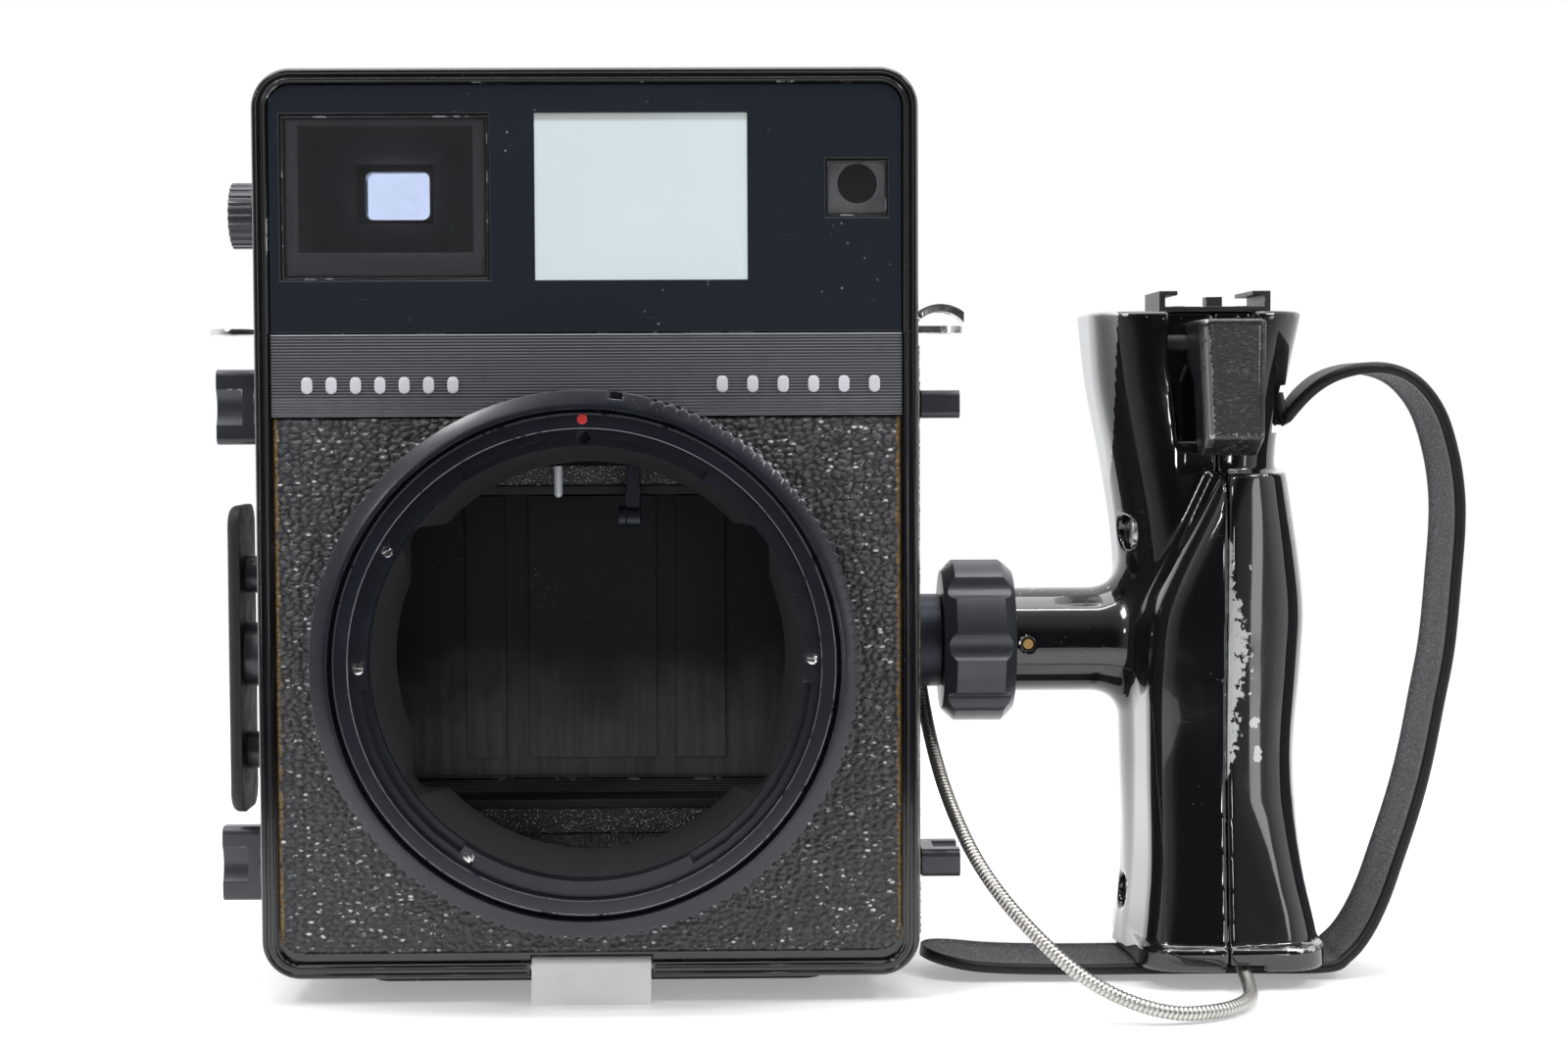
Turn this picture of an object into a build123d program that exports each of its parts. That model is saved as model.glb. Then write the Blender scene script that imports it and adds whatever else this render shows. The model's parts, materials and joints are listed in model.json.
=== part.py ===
from build123d import *

import os
from math import cos, radians, sin, tan

# Press camera body with bellows back, breech-lock lens mount, side grip, hand strap and release
# cable. Millimetres. X runs across the camera, +Y towards its back, +Z up. The origin is the mouth
# of the tripod bush in the base plate's underside, so the camera stands on Z = 0.

os.makedirs("parts", exist_ok=True)

# ---------------------------------------------------------------- driving dimensions
BODY_W = 117.8
BODY_H = 162.0
BODY_D = 50.0
BODY_R = 7.0
BODY_LIFT = 4.5            # underside of the body above the standing surface
RIM_W = 2.8                # glossy rim round the front plates
RIM_DEEP = 1.5
SPLIT_Z = 119.6            # joint between body and finder housing
SKIN = 0.45                # leather on the sides
MOUNT_Z = 61.9             # height of the lens axis
RUN = 0.06                 # radial running clearance
GAP = 0.3                  # clearance between bodies that move apart

HALF_W = BODY_W / 2
FRONT = -BODY_D / 2
BACK = BODY_D / 2
BOTTOM = BODY_LIFT
TOP = BODY_LIFT + BODY_H
PLATE_Y = FRONT + RIM_DEEP  # seat of the front plates
PLATE_T = 1.0
PLATE_X = HALF_W - RIM_W - 0.2

RING_R = 47.7
RING_IN_R = 44.5
BASE_RING_IN_R = 41.0
FLANGE_R = 38.0
THROAT_R = 35.0
RING_FRONT = -39.1
THROAT_BACK = -18.5
FLANGE_SCREWS = (181.0, 238.5, 150.0, 1.0)   # angles round the flange
FLANGE_SCREW_PCR = 39.5
FLANGE_FRONT = -35.6
FLANGE_STEP = -33.4        # floor of the entry recesses
FLANGE_BACK = -31.0
TEETH = 136                # serrations round the whole breech ring
TOOTH_FIRST = -150.0
TOOTH_LAST = 78.0

GATE_W = 87.0              # light aperture for the film gate
GATE_H = 57.0
CHAMBER_X = 55.4
CHAMBER_Z0 = 27.0
CHAMBER_Z1 = 96.0
BAFFLE_Y0 = -1.0
BAFFLE_Y1 = 7.0

ROD_X = 50.5
ROD_R = 3.0
ROD_ZS = (21.2, 106.8)
KNOB_Y = 2.0
KNOB_SHAFT_R = 2.0

EYE_X = -39.2              # eyepiece
EYE_Z = 147.6
EYE_W = 12.3
EYE_H = 9.2
DIAL_Y = 0.0
DIAL_Z = 142.2
FOOT_Y = -23.4             # hinge of the folding foot
FOOT_Z = 6.6
VIEW_WINDOW = (-54.0, -17.0, 129.1, 158.5)   # x0, x1, z0, z1
LIGHT_WINDOW = (-9.0, 28.6, 129.1, 158.5)
RANGE_WINDOW = (42.4, 53.5, 140.0, 150.4)

RIB_PITCH = 0.535
RIB_COUNT = 26
TRIM_Z0 = 105.1             # ribbed strip above, leather below
LEATHER_Z0 = 8.9
STUD_Z = 110.6
STUD_ROWS = ((-49.5, 4.3, 7), (24.0, 5.4, 6))   # first x, pitch, count

SIDE_PLATE_Y = 2.0
SIDE_POSTS = ((42.5, 3.5), (60.5, 6.0), (75.5, 3.5))   # z, radius
KNOB_OUT = {-1: 70.4, 1: 67.8}   # outer end of the clamp knobs on each side
LUG_Z = 119.9
LUG_Y = -4.0
BUSH_R = 3.175             # 1/4 inch tripod thread
BUSH_DEPTH = 8.0

ARM_X = 7.35               # rangefinder arm
ARM_Y = -6.0
ARM_PIVOT_Z = 112.0
ROLLER_Z = 86.3

FRAME_Y0 = BACK + GAP
FRAME_T = 6.0
FRAME_X = 54.0
FRAME_Z0 = 12.0
FRAME_Z1 = 112.0
COVER_Y0 = FRAME_Y0 + FRAME_T
COVER_X = 50.0
COVER_T = 3.0
COVER_PANELS = ((-27.5, -19.7), (-15.0, 10.2), (14.2, 23.8))   # raised panels inside

GRIP_Y = 8.0               # axis of the coupling and arm
GRIP_SEAM_X = 115.6
ARM_R = 9.9
RING_X0 = 65.0
RING_X1 = 78.4
GRIP_TOP = 123.8
GRIP_BASE = 3.4
PIVOT_Y = -3.0
PIVOT_Z = 118.0
TRIGGER_OUTLINE = (        # y, z
    (-22.4, 122.0), (-21.0, 100.8), (-13.4, 97.0), (-8.6, 99.8), (-7.4, 112.0), (-1.4, 114.6), (-1.4, 121.4),
)
GRIP_SCREWS = ((2.0, 82.6), (6.0, 14.0))   # y, z
COLUMN = (
    # height, x0, x1, y0, y1, corner radius
    (GRIP_BASE + 4, 100.0, 134.0, -6, 29, 10),
    (20, 100.0, 132.6, -5, 27, 12),
    (40, 99.2, 130.8, -5, 26, 13),
    (60, 98.8, 131.4, -5, 26, 13),
    (80, 98.8, 130.4, -5, 26, 12),
    (96, 96.4, 128.4, -5, 26, 11),
    (110, 93.8, 130.2, -5, 27, 10),
    (GRIP_TOP, 92.6, 132.4, -7, 28, 9),
)
FINGER = (
    (GRIP_BASE + 4, 100.2, 133.4, -19.0, 8, 9),
    (20, 101.0, 131.8, -17.0, 8, 10),
    (40, 100.8, 130.2, -15.5, 8, 10),
    (60, 100.6, 130.8, -16.5, 8, 10),
    (80, 105.6, 129.8, -17.5, 8, 8),
    (94, 112.0, 128.0, -17.0, 8, 6),
)

STRAP_T = 2.2
STRAP_Y0 = -10.4
STRAP_Y1 = 10.2
STRAP_PATH = (             # x, z along the middle of the band
    (128.4, 108.6), (129.3, 103.3), (133.6, 108.8), (138.0, 111.9), (143.7, 113.2), (148.9, 112.2),
    (152.9, 109.4), (156.2, 104.5), (158.4, 97.5), (159.5, 90.8), (159.7, 84.2), (159.1, 75.0),
    (157.9, 61.6), (156.0, 51.0), (154.0, 40.5), (151.7, 31.5), (148.7, 22.2), (145.9, 14.2),
    (142.8, 8.0), (139.4, 4.0), (135.2, 2.1), (118.0, 2.1), (102.0, 2.1), (86.0, 2.1), (72.0, 2.6),
    (60.6, 4.2),
)

CABLE_D = 2.6
CABLE_ROUTE = (
    (118.6, -8.4, 12.6),
    (118.6, -14.0, 4.0),
    (118.6, -22.5, 1.6),
    (117.0, -33.0, 1.5),
    (110.5, -41.5, 1.5),
    (100.0, -45.0, 1.7),
    (88.0, -43.0, 6.0),
    (78.5, -37.0, 13.5),
    (70.0, -26.0, 23.0),
    (65.3, -11.0, 33.0),
    (63.0, 4.0, 42.5),
    (61.6, 17.0, 53.0),
    (60.9, 24.5, 66.0),
    (59.4, 28.2, 80.0),
    (58.4, 29.4, 92.0),
)
GLAND_AT = Vector(*CABLE_ROUTE[0])
GLAND_TO = (Vector(*CABLE_ROUTE[1]) - GLAND_AT).normalized()


# ---------------------------------------------------------------- helpers
def block(x0, x1, y0, y1, z0, z1):
    """Box between two corners."""
    centre = Pos((x0 + x1) / 2, (y0 + y1) / 2, (z0 + z1) / 2)
    return centre * Box(abs(x1 - x0), abs(y1 - y0), abs(z1 - z0))


def rod_x(r, x0, x1, y, z):
    """Round bar along X."""
    return Pos((x0 + x1) / 2, y, z) * Rot(0, 90, 0) * Cylinder(r, abs(x1 - x0))


def rod_y(r, y0, y1, x, z):
    """Round bar along Y."""
    return Pos(x, (y0 + y1) / 2, z) * Rot(90, 0, 0) * Cylinder(r, abs(y1 - y0))


def rod_z(r, z0, z1, x, y):
    """Round bar along Z."""
    return Pos(x, y, (z0 + z1) / 2) * Cylinder(r, abs(z1 - z0))


def ring_y(r_out, r_in, y0, y1, x=0.0, z=MOUNT_Z):
    """Ring round an axis along Y."""
    return rod_y(r_out, y0, y1, x, z) - rod_y(r_in, y0 - 1, y1 + 1, x, z)


def slab_y(width, height, radius, y0, y1, x=0.0, z=0.0):
    """Plate with rounded corners that faces along Y."""
    face = Plane.XZ * RectangleRounded(width, height, radius)
    return Pos(x, y1, z) * extrude(face, y1 - y0)


def slab_z(width, depth, radius, z0, z1, x, y):
    """Plate with rounded corners that lies flat."""
    return Pos(x, y, z0) * extrude(RectangleRounded(width, depth, radius), z1 - z0)


def lofted(sections):
    """Solid through rounded rectangles, one at each height."""
    faces = []
    for z, x0, x1, y0, y1, r in sections:
        outline = RectangleRounded(x1 - x0, y1 - y0, r)
        faces.append((Pos((x0 + x1) / 2, (y0 + y1) / 2, z) * outline).face())
    return loft(faces)


def largest(shape):
    """The biggest solid of a cut shape."""
    return max(shape.solids(), key=lambda s: s.volume)


def sector_y(r, a0, a1, y0, y1):
    """Wedge round the lens axis from angle a0 to a1, in degrees from +X towards +Z."""
    steps = 6
    angles = [radians(a0 + (a1 - a0) * i / steps) for i in range(steps + 1)]
    points = [(0, 0)] + [(r * cos(a), r * sin(a)) for a in angles]
    face = Plane.XZ * make_face(Polyline(*points, close=True))
    return Pos(0, y1, MOUNT_Z) * extrude(face, y1 - y0)


def side(sign):
    """Name of a side of the camera: the left one is at -X."""
    return "right" if sign > 0 else "left"


def write(node, *solids):
    """Write one node, whether it is one solid or a group of separate ones."""
    parts = []
    for solid in solids:
        parts.extend(solid.solids())
    shape = parts[0] if len(parts) == 1 else Compound(parts)
    export_step(shape, f"parts/{node}.step")


# ---------------------------------------------------------------- body and finder housing
def body_prism():
    """The whole outer block with its soft front edge and the recess inside the rim."""
    centre_z = (BOTTOM + TOP) / 2
    prism = slab_y(BODY_W, BODY_H, BODY_R, FRONT, BACK, 0, centre_z)
    front_edges = prism.faces().sort_by(Axis.Y)[0].edges()
    prism = fillet(front_edges, 1.2)
    recess = slab_y(BODY_W - 2 * RIM_W, BODY_H - 2 * RIM_W, BODY_R - RIM_W, FRONT - 1, PLATE_Y, 0, centre_z)
    return prism - recess


def body_shell(prism):
    """Lower casting: chamber, rod guides, knob threads and the notch for the foot."""
    body = prism - block(-70, 70, -30, 30, SPLIT_Z, TOP + 1)
    body -= block(-CHAMBER_X, CHAMBER_X, PLATE_Y + 3.5, BACK + 1, CHAMBER_Z0, CHAMBER_Z1)
    body -= block(-44, 44, PLATE_Y + 3.5, BACK + 1, 12, CHAMBER_Z0 - 3)
    body -= block(-44, 44, PLATE_Y + 3.5, BACK - 3, CHAMBER_Z1 + 3, SPLIT_Z + 1)
    body -= block(2.5, 9.3, -14, 4, CHAMBER_Z1 - 1, CHAMBER_Z1 + 4)
    body -= rod_y(BASE_RING_IN_R, FRONT, THROAT_BACK + 0.2, 0, MOUNT_Z)
    body -= rod_z(5.0, BOTTOM - 1, BOTTOM + 5, 0, 0)
    for sign in (-1, 1):
        for z in ROD_ZS:
            body -= rod_y(ROD_R + RUN, -20, BACK + 1, sign * ROD_X, z)
            body -= rod_x(KNOB_SHAFT_R + RUN, sign * ROD_X, sign * 70, KNOB_Y, z)
    body -= block(-11.0, 11.0, FRONT - 1, -14.2, BOTTOM - 1, 8.5)
    body -= rod_x(0.8, -13, 13, FOOT_Y, FOOT_Z)
    return body


def finder_housing(prism):
    """Upper casting, hollow, with window openings in front and the eyepiece opening behind."""
    top = prism - block(-70, 70, -30, 30, BOTTOM - 1, SPLIT_Z)
    top -= block(-55.9, 55.9, PLATE_Y + 2, BACK - 2.5, SPLIT_Z - 1, TOP - 3)
    top -= block(-53.5, -17.6, FRONT, PLATE_Y + 3, 129.6, 157.9)
    top -= block(-8.4, 28.0, FRONT, PLATE_Y + 3, 129.6, 157.9)
    top -= block(43.0, 53.0, FRONT, PLATE_Y + 3, 140.6, 149.8)
    top += slab_y(18.4, 15.0, 3.2, BACK - 1, BACK + 1.2, EYE_X, EYE_Z)
    top -= slab_y(EYE_W, EYE_H, 1.4, BACK - 6, BACK + 2, EYE_X, EYE_Z)
    top -= rod_x(2.0 + RUN, -70, -50, DIAL_Y, DIAL_Z)
    return top


def window_plate():
    """Dark plate that holds the three finder windows."""
    plate = block(-PLATE_X, PLATE_X, PLATE_Y - PLATE_T, PLATE_Y, SPLIT_Z + 0.3, TOP - RIM_W - 0.2)
    corners = plate.edges().filter_by(Axis.Y).group_by(Axis.Z)[-1]
    plate = fillet(corners, BODY_R - RIM_W - 0.2)
    for x0, x1, z0, z1 in (VIEW_WINDOW, LIGHT_WINDOW, RANGE_WINDOW):
        plate -= block(x0, x1, FRONT - 1, PLATE_Y + 1, z0, z1)
    return plate


def pane(window):
    """Glass that fills a window of the plate."""
    x0, x1, z0, z1 = window
    return block(x0, x1, PLATE_Y - 0.8, PLATE_Y, z0, z1)


def finder_tunnel():
    """Four-sided funnel from the front window to the eyepiece, open at both ends."""
    x0, x1, z0, z1 = VIEW_WINDOW
    y_front = PLATE_Y + 2.4
    y_back = BACK - 7.0
    front_out = Pos((x0 + x1) / 2, y_front, (z0 + z1) / 2) * (Plane.XZ * Rectangle(x1 - x0, z1 - z0))
    back_out = Pos(EYE_X, y_back, EYE_Z) * (Plane.XZ * Rectangle(17.0, 13.4))
    front_in = Pos((x0 + x1) / 2, y_front, (z0 + z1) / 2) * (Plane.XZ * Rectangle(x1 - x0 - 2, z1 - z0 - 2))
    back_in = Pos(EYE_X, y_back, EYE_Z) * (Plane.XZ * Rectangle(14.8, 11.4))
    return loft([front_out.face(), back_out.face()]) - loft([front_in.face(), back_in.face()])


def view_frame():
    """Bright frame line bracket just behind the finder's front window."""
    x0, x1, z0, z1 = VIEW_WINDOW
    y0 = PLATE_Y + 0.3
    frame = block(x0 + 1.0, x1 - 1.0, y0, y0 + 0.7, z0 + 1.0, z1 - 1.0)
    return frame - block(x0 + 3.0, x1 - 3.0, y0 - 1, y0 + 2, z0 + 5.0, z1 - 2.0)


def beam_splitter():
    """Half-silvered plate at 45 degrees between the illumination window and the tunnel."""
    return Pos(-11.5, 2, 143.5) * Rot(0, 0, 45) * Box(0.8, 12.0, 14.0)


def finder_parts():
    write("finder_window_plate", window_plate())
    write("viewfinder_window", pane(VIEW_WINDOW))
    write("illumination_window", pane(LIGHT_WINDOW))
    write("rangefinder_window", pane(RANGE_WINDOW))
    write("viewfinder_tunnel", finder_tunnel())
    write("viewfinder_frame", view_frame())
    write("eyepiece_lens", slab_y(EYE_W, EYE_H, 1.4, BACK - 2.4, BACK - 0.4, EYE_X, EYE_Z))
    write("beam_splitter", beam_splitter())
    mirror_disc = rod_y(3.5, -14.2, -13.0, 48.2, 145.6)
    write("rangefinder_mirror", mirror_disc + block(46.7, 49.7, -13.0, -10.5, 143.1, 148.1))
    post = rod_z(1.2, SPLIT_Z + 1.6, 143.0, 48.2, -11.7)
    shelf = block(30, 55.6, -15, -8, SPLIT_Z + 0.1, SPLIT_Z + 1.6)
    write("mirror_pivot_post", post + shelf)


# ---------------------------------------------------------------- front trim
def ribbed_trim():
    """Strip with fine horizontal ribs and its row of plain raised studs."""
    trim = block(-PLATE_X, PLATE_X, PLATE_Y - PLATE_T, PLATE_Y, TRIM_Z0, SPLIT_Z)
    for i in range(RIB_COUNT):
        z = TRIM_Z0 + 0.35 + i * RIB_PITCH
        trim -= block(-60, 60, FRONT, PLATE_Y - PLATE_T + 0.22, z, z + 0.24)
    return trim - rod_y(RING_R - 1.4, FRONT - 1, BACK, 0, MOUNT_Z)


def trim_studs():
    """Plain pill-shaped studs at both ends of the ribbed strip."""
    y1 = PLATE_Y - PLATE_T
    studs = []
    for start, pitch, count in STUD_ROWS:
        for i in range(count):
            studs.append(slab_y(2.0, 3.0, 0.95, y1 - 0.5, y1, start + pitch * i, STUD_Z))
    return studs


def front_leather():
    """Leather on the front, cut out round the lens mount."""
    skin = block(-PLATE_X, PLATE_X, PLATE_Y - PLATE_T, PLATE_Y, LEATHER_Z0, TRIM_Z0 - 0.2)
    low_corners = skin.edges().filter_by(Axis.Y).group_by(Axis.Z)[0]
    skin = fillet(low_corners, BODY_R - RIM_W)
    return skin - rod_y(RING_R - 1.4, FRONT - 1, BACK, 0, MOUNT_Z)


def side_leather(sign):
    """Leather on one side of the body, with holes for what is fixed there."""
    x = sign * HALF_W
    skin = block(x, x + sign * SKIN, FRONT + 2.5, BACK - 2, BOTTOM + BODY_R, SPLIT_Z - 2)
    for z in ROD_ZS:
        skin -= rod_x(5.2, x - 2, x + 2, KNOB_Y, z)
    if sign > 0:
        skin -= rod_x(9.0, x - 2, x + 2, GRIP_Y, MOUNT_Z)
    else:
        for z, r in SIDE_POSTS:
            skin -= rod_x(r + 0.2, x - 2, x + 2, SIDE_PLATE_Y, z)
    return skin


# ---------------------------------------------------------------- lens mount
def base_ring():
    """Fixed ring on the body that carries the breech ring."""
    ring = ring_y(RING_IN_R - RUN, BASE_RING_IN_R, -37.6, PLATE_Y)
    ring += ring_y(RING_R - 1.7, BASE_RING_IN_R, -26.5, PLATE_Y)
    front = ring.faces().sort_by(Axis.Y)[0].edges()
    return chamfer(front.sort_by(SortBy.LENGTH)[-1], 0.8)


def breech_ring():
    """Locking ring with a plain sector and a serrated one."""
    ring = ring_y(RING_R, RING_IN_R, RING_FRONT, -26.8)
    outer = ring.faces().sort_by(Axis.Y)[0].edges().sort_by(SortBy.LENGTH)[-1]
    ring = chamfer(outer, 1.2, 2.2)
    notch = sector_y(RING_R + 3, 81.5, 84.5, RING_FRONT - 1, -34.0)
    ring -= notch - rod_y(RING_R - 1.3, -50, -20, 0, MOUNT_Z)
    tooth_step = 360.0 / TEETH
    cutter = []
    for i in range(int((TOOTH_LAST - TOOTH_FIRST) / tooth_step)):
        a = radians(TOOTH_FIRST + i * tooth_step)
        x = (RING_R + 0.25) * cos(a)
        z = MOUNT_Z + (RING_R + 0.25) * sin(a)
        cutter.append(rod_y(0.75, RING_FRONT - 1, -28.5, x, z))
    return ring - cutter


def bayonet_flange():
    """Inner flange that the lens seats in, with three entry recesses in its front half."""
    flange = ring_y(BASE_RING_IN_R - 0.02, FLANGE_R, FLANGE_FRONT, FLANGE_BACK)
    recess = rod_y(FLANGE_R + 1.6, FLANGE_FRONT - 1, FLANGE_STEP, 0, MOUNT_Z)
    for a0, a1 in ((57, 123), (186, 236), (-62, -5)):
        flange -= sector_y(FLANGE_R + 1.6, a0, a1, FLANGE_FRONT - 1, FLANGE_STEP) & recess
    for a in FLANGE_SCREWS:
        flange -= screw_at(a, -1, 5)
    return flange - rod_y(1.1, FLANGE_FRONT - 1, FLANGE_BACK - 1, 0.0, MOUNT_Z + FLANGE_SCREW_PCR)


def screw_at(angle, y0, y1):
    """Screw body at a place round the flange."""
    x = FLANGE_SCREW_PCR * cos(radians(angle))
    z = MOUNT_Z + FLANGE_SCREW_PCR * sin(radians(angle))
    return rod_y(0.95, FLANGE_FRONT + y0, FLANGE_FRONT + y1, x, z)


def flange_screws():
    """Four slotted screws that hold the flange."""
    screws = []
    for angle in FLANGE_SCREWS:
        x = FLANGE_SCREW_PCR * cos(radians(angle))
        z = MOUNT_Z + FLANGE_SCREW_PCR * sin(radians(angle))
        slot = Pos(x, FLANGE_FRONT, z) * Rot(0, angle, 0) * Box(2.4, 0.9, 0.35)
        screws.append(screw_at(angle, 0.1, 4.5) - slot)
    return screws


def throat_ring():
    """Conical throat behind the flange, notched at the corners of the picture area."""
    shell = rod_y(BASE_RING_IN_R - 0.02, FLANGE_BACK, THROAT_BACK, 0, MOUNT_Z)
    cone = Pos(0, (FLANGE_BACK + THROAT_BACK) / 2, MOUNT_Z) * Rot(90, 0, 0)
    cone = cone * Cone(THROAT_R, FLANGE_R, THROAT_BACK - FLANGE_BACK)
    notch = slab_y(64.4, 47.6, 3.5, -40, BACK, 0, MOUNT_Z)
    return shell - cone - notch


# ---------------------------------------------------------------- chamber, gate and back
def baffle():
    """Matt frame that carries the front of the bellows, with a lip above and below the gate."""
    z0 = MOUNT_Z - GATE_H / 2
    z1 = MOUNT_Z + GATE_H / 2
    frame = block(-CHAMBER_X, CHAMBER_X, BAFFLE_Y0, BAFFLE_Y1, CHAMBER_Z0, CHAMBER_Z1)
    for z in (z0 - 0.8, z1 + 0.8):
        frame += block(-34, 34, BAFFLE_Y0 - 2, BAFFLE_Y0 + 1, z - 0.8, z + 0.8)
    return frame - block(-GATE_W / 2, GATE_W / 2, -10, 20, z0, z1)


def light_pads():
    """Flocked pads above and below the gate, one solid each."""
    top = block(-30, 30, BAFFLE_Y0 - 1.6, BAFFLE_Y0, MOUNT_Z + GATE_H / 2 + 1.7, CHAMBER_Z1 - 0.1)
    low = block(-30, 30, BAFFLE_Y0 - 1.6, BAFFLE_Y0, CHAMBER_Z0 + 0.1, MOUNT_Z - GATE_H / 2 - 1.7)
    return [top, low]


def bellows():
    """Plain tube in the place of the folded bellows."""
    outer = block(-GATE_W / 2 - 4, GATE_W / 2 + 4, BAFFLE_Y1, FRAME_Y0, MOUNT_Z - 32.5, MOUNT_Z + 32.5)
    return outer - block(-GATE_W / 2, GATE_W / 2, 0, 30, MOUNT_Z - GATE_H / 2, MOUNT_Z + GATE_H / 2)


def rear_frame():
    """Sliding frame at the back with the film gate opening."""
    height = FRAME_Z1 - FRAME_Z0
    frame = slab_y(2 * FRAME_X, height, 5, FRAME_Y0, COVER_Y0, 0, (FRAME_Z0 + FRAME_Z1) / 2)
    return frame - block(-GATE_W / 2, GATE_W / 2, 20, 40, MOUNT_Z - GATE_H / 2, MOUNT_Z + GATE_H / 2)


def extension_rods():
    """Four guide rods of the rear frame."""
    return [rod_y(ROD_R, -19, FRAME_Y0, sign * ROD_X, z) for sign in (-1, 1) for z in ROD_ZS]


def rear_cover():
    """Moulded cover on the rear frame: raised panels inside, ribs and a rim outside."""
    cover = slab_y(2 * COVER_X, 92, 3, COVER_Y0, COVER_Y0 + COVER_T, 0, 62)
    cover -= slab_y(2 * COVER_X - 6, 86, 2, COVER_Y0 + 1.6, COVER_Y0 + COVER_T + 1, 0, 62)
    for x0, x1 in COVER_PANELS:
        cover += block(x0, x1, COVER_Y0 - 1.4, COVER_Y0 + 0.5, MOUNT_Z - 25, MOUNT_Z + 27)
    cover += rod_y(1.2, COVER_Y0 - 1.8, COVER_Y0, -2.4, MOUNT_Z + 1)
    for i in range(-3, 4):
        cover += block(12 * i - 0.8, 12 * i + 0.8, COVER_Y0 + 1, COVER_Y0 + COVER_T, 20, 104)
    return cover


def cover_latch(sign):
    """Sliding latch that hooks over one edge of the rear cover."""
    foot = block(sign * (COVER_X + GAP), sign * 53.8, COVER_Y0 + 0.1, COVER_Y0 + COVER_T + 0.3, 52, 72)
    y0 = COVER_Y0 + COVER_T + 0.3
    hook = block(sign * (COVER_X - 1.8), sign * 53.8, y0, y0 + 1.5, 52, 72)
    latch = foot + hook
    for i in range(5):
        z = 56 + 3 * i
        latch -= block(sign * (COVER_X + 0.4), sign * 55, COVER_Y0 + COVER_T + 1.3, COVER_Y0 + 6, z, z + 1.2)
    return latch


# ---------------------------------------------------------------- rangefinder coupling
def rangefinder_arm():
    """Lever that the lens pushes, and the roller beside its foot, as two solids."""
    x0 = ARM_X - 1.25
    x1 = ARM_X + 1.25
    arm = block(x0, x1, ARM_Y - 1, ARM_Y + 1, ROLLER_Z, ARM_PIVOT_Z)
    arm += rod_x(2.4, x0, x1, ARM_Y, ARM_PIVOT_Z)
    arm += rod_x(2.0, x0, x1, ARM_Y, ROLLER_Z)
    arm -= rod_x(1.2 + RUN, 0, 20, ARM_Y, ARM_PIVOT_Z)
    arm -= rod_x(0.8 + RUN, 0, 20, ARM_Y, ROLLER_Z)
    roller = rod_x(2.0, 4.5, x0 - 0.1, ARM_Y, ROLLER_Z) + rod_x(0.8, 4.5, x1, ARM_Y, ROLLER_Z)
    return [arm, roller]


def rangefinder_bracket():
    """Bracket over the chamber with the arm's pin riveted into it."""
    bracket = block(9.4, 11.4, ARM_Y - 4, ARM_Y + 4, CHAMBER_Z1 + 3, ARM_PIVOT_Z + 3)
    bracket += block(9.4, 20.0, ARM_Y - 4, ARM_Y + 4, CHAMBER_Z1 + 3, CHAMBER_Z1 + 4.5)
    return bracket + rod_x(1.2, 4.0, 11.0, ARM_Y, ARM_PIVOT_Z)


def interlock_pin():
    """Bright pin with a round end that hangs from the chamber's roof."""
    return rod_z(0.8, 90.7, CHAMBER_Z1, -6.5, ARM_Y) + Pos(-6.5, ARM_Y, 90.7) * Sphere(0.8)


# ---------------------------------------------------------------- side fittings
def wing_knob(sign, z):
    """Clamp knob whose shaft bears on an extension rod."""
    x_end = KNOB_OUT[sign]
    x_in = x_end - 7.2
    wing = block(sign * x_in, sign * x_end, KNOB_Y - 7, KNOB_Y + 7, z - 2.6, z + 2.6)
    ends = wing.edges().filter_by(Axis.X)
    wing = fillet(ends, 1.4)
    for dz in (-7.1, 7.1):
        wing -= rod_x(5.6, sign * (x_in + 2.4), sign * (x_end + 1), KNOB_Y, z + dz)
    if sign < 0:
        wing = Pos(0, KNOB_Y, z) * Rot(90, 0, 0) * Pos(0, -KNOB_Y, -z) * wing
    collar = rod_x(4.6, sign * (HALF_W + 0.2), sign * x_in, KNOB_Y, z)
    shaft = rod_x(KNOB_SHAFT_R, sign * (ROD_X + ROD_R + 0.1), sign * (x_in + 0.5), KNOB_Y, z)
    return wing + collar + shaft


def frame_dial():
    """Dial that sets the finder's frame, with a coin-edge rim."""
    dial = rod_x(6.1, -66.7, -60.2, DIAL_Y, DIAL_Z)
    for i in range(24):
        a = radians(15 * i)
        dial -= rod_x(0.45, -67, -62.5, DIAL_Y + 6.2 * cos(a), DIAL_Z + 6.2 * sin(a))
    return dial + rod_x(2.0, -60.5, -54.5, DIAL_Y, DIAL_Z)


def side_plate():
    """Accessory plate on the left side, with round corners and a rounded outer face."""
    plate = block(-67.8, -65.4, SIDE_PLATE_Y - 8, SIDE_PLATE_Y + 8, 31.4, 88.6)
    plate = fillet(plate.edges().filter_by(Axis.X), 4.0)
    plate = fillet(plate.faces().sort_by(Axis.X)[0].edges(), 1.4)
    for z, r in SIDE_POSTS:
        plate -= rod_x(r - 1.6, -70, -60, SIDE_PLATE_Y, z)
    return plate


def side_posts():
    """Three spacers between the body and the accessory plate."""
    posts = []
    for z, r in SIDE_POSTS:
        post = rod_x(r, -65.4, -HALF_W, SIDE_PLATE_Y, z) + rod_x(r - 1.6, -67.2, -65.4, SIDE_PLATE_Y, z)
        slot = block(-68, -66.6, SIDE_PLATE_Y - 7, SIDE_PLATE_Y + 7, z - 0.4, z + 0.4)
        posts.append(post - slot)
    return posts


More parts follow.
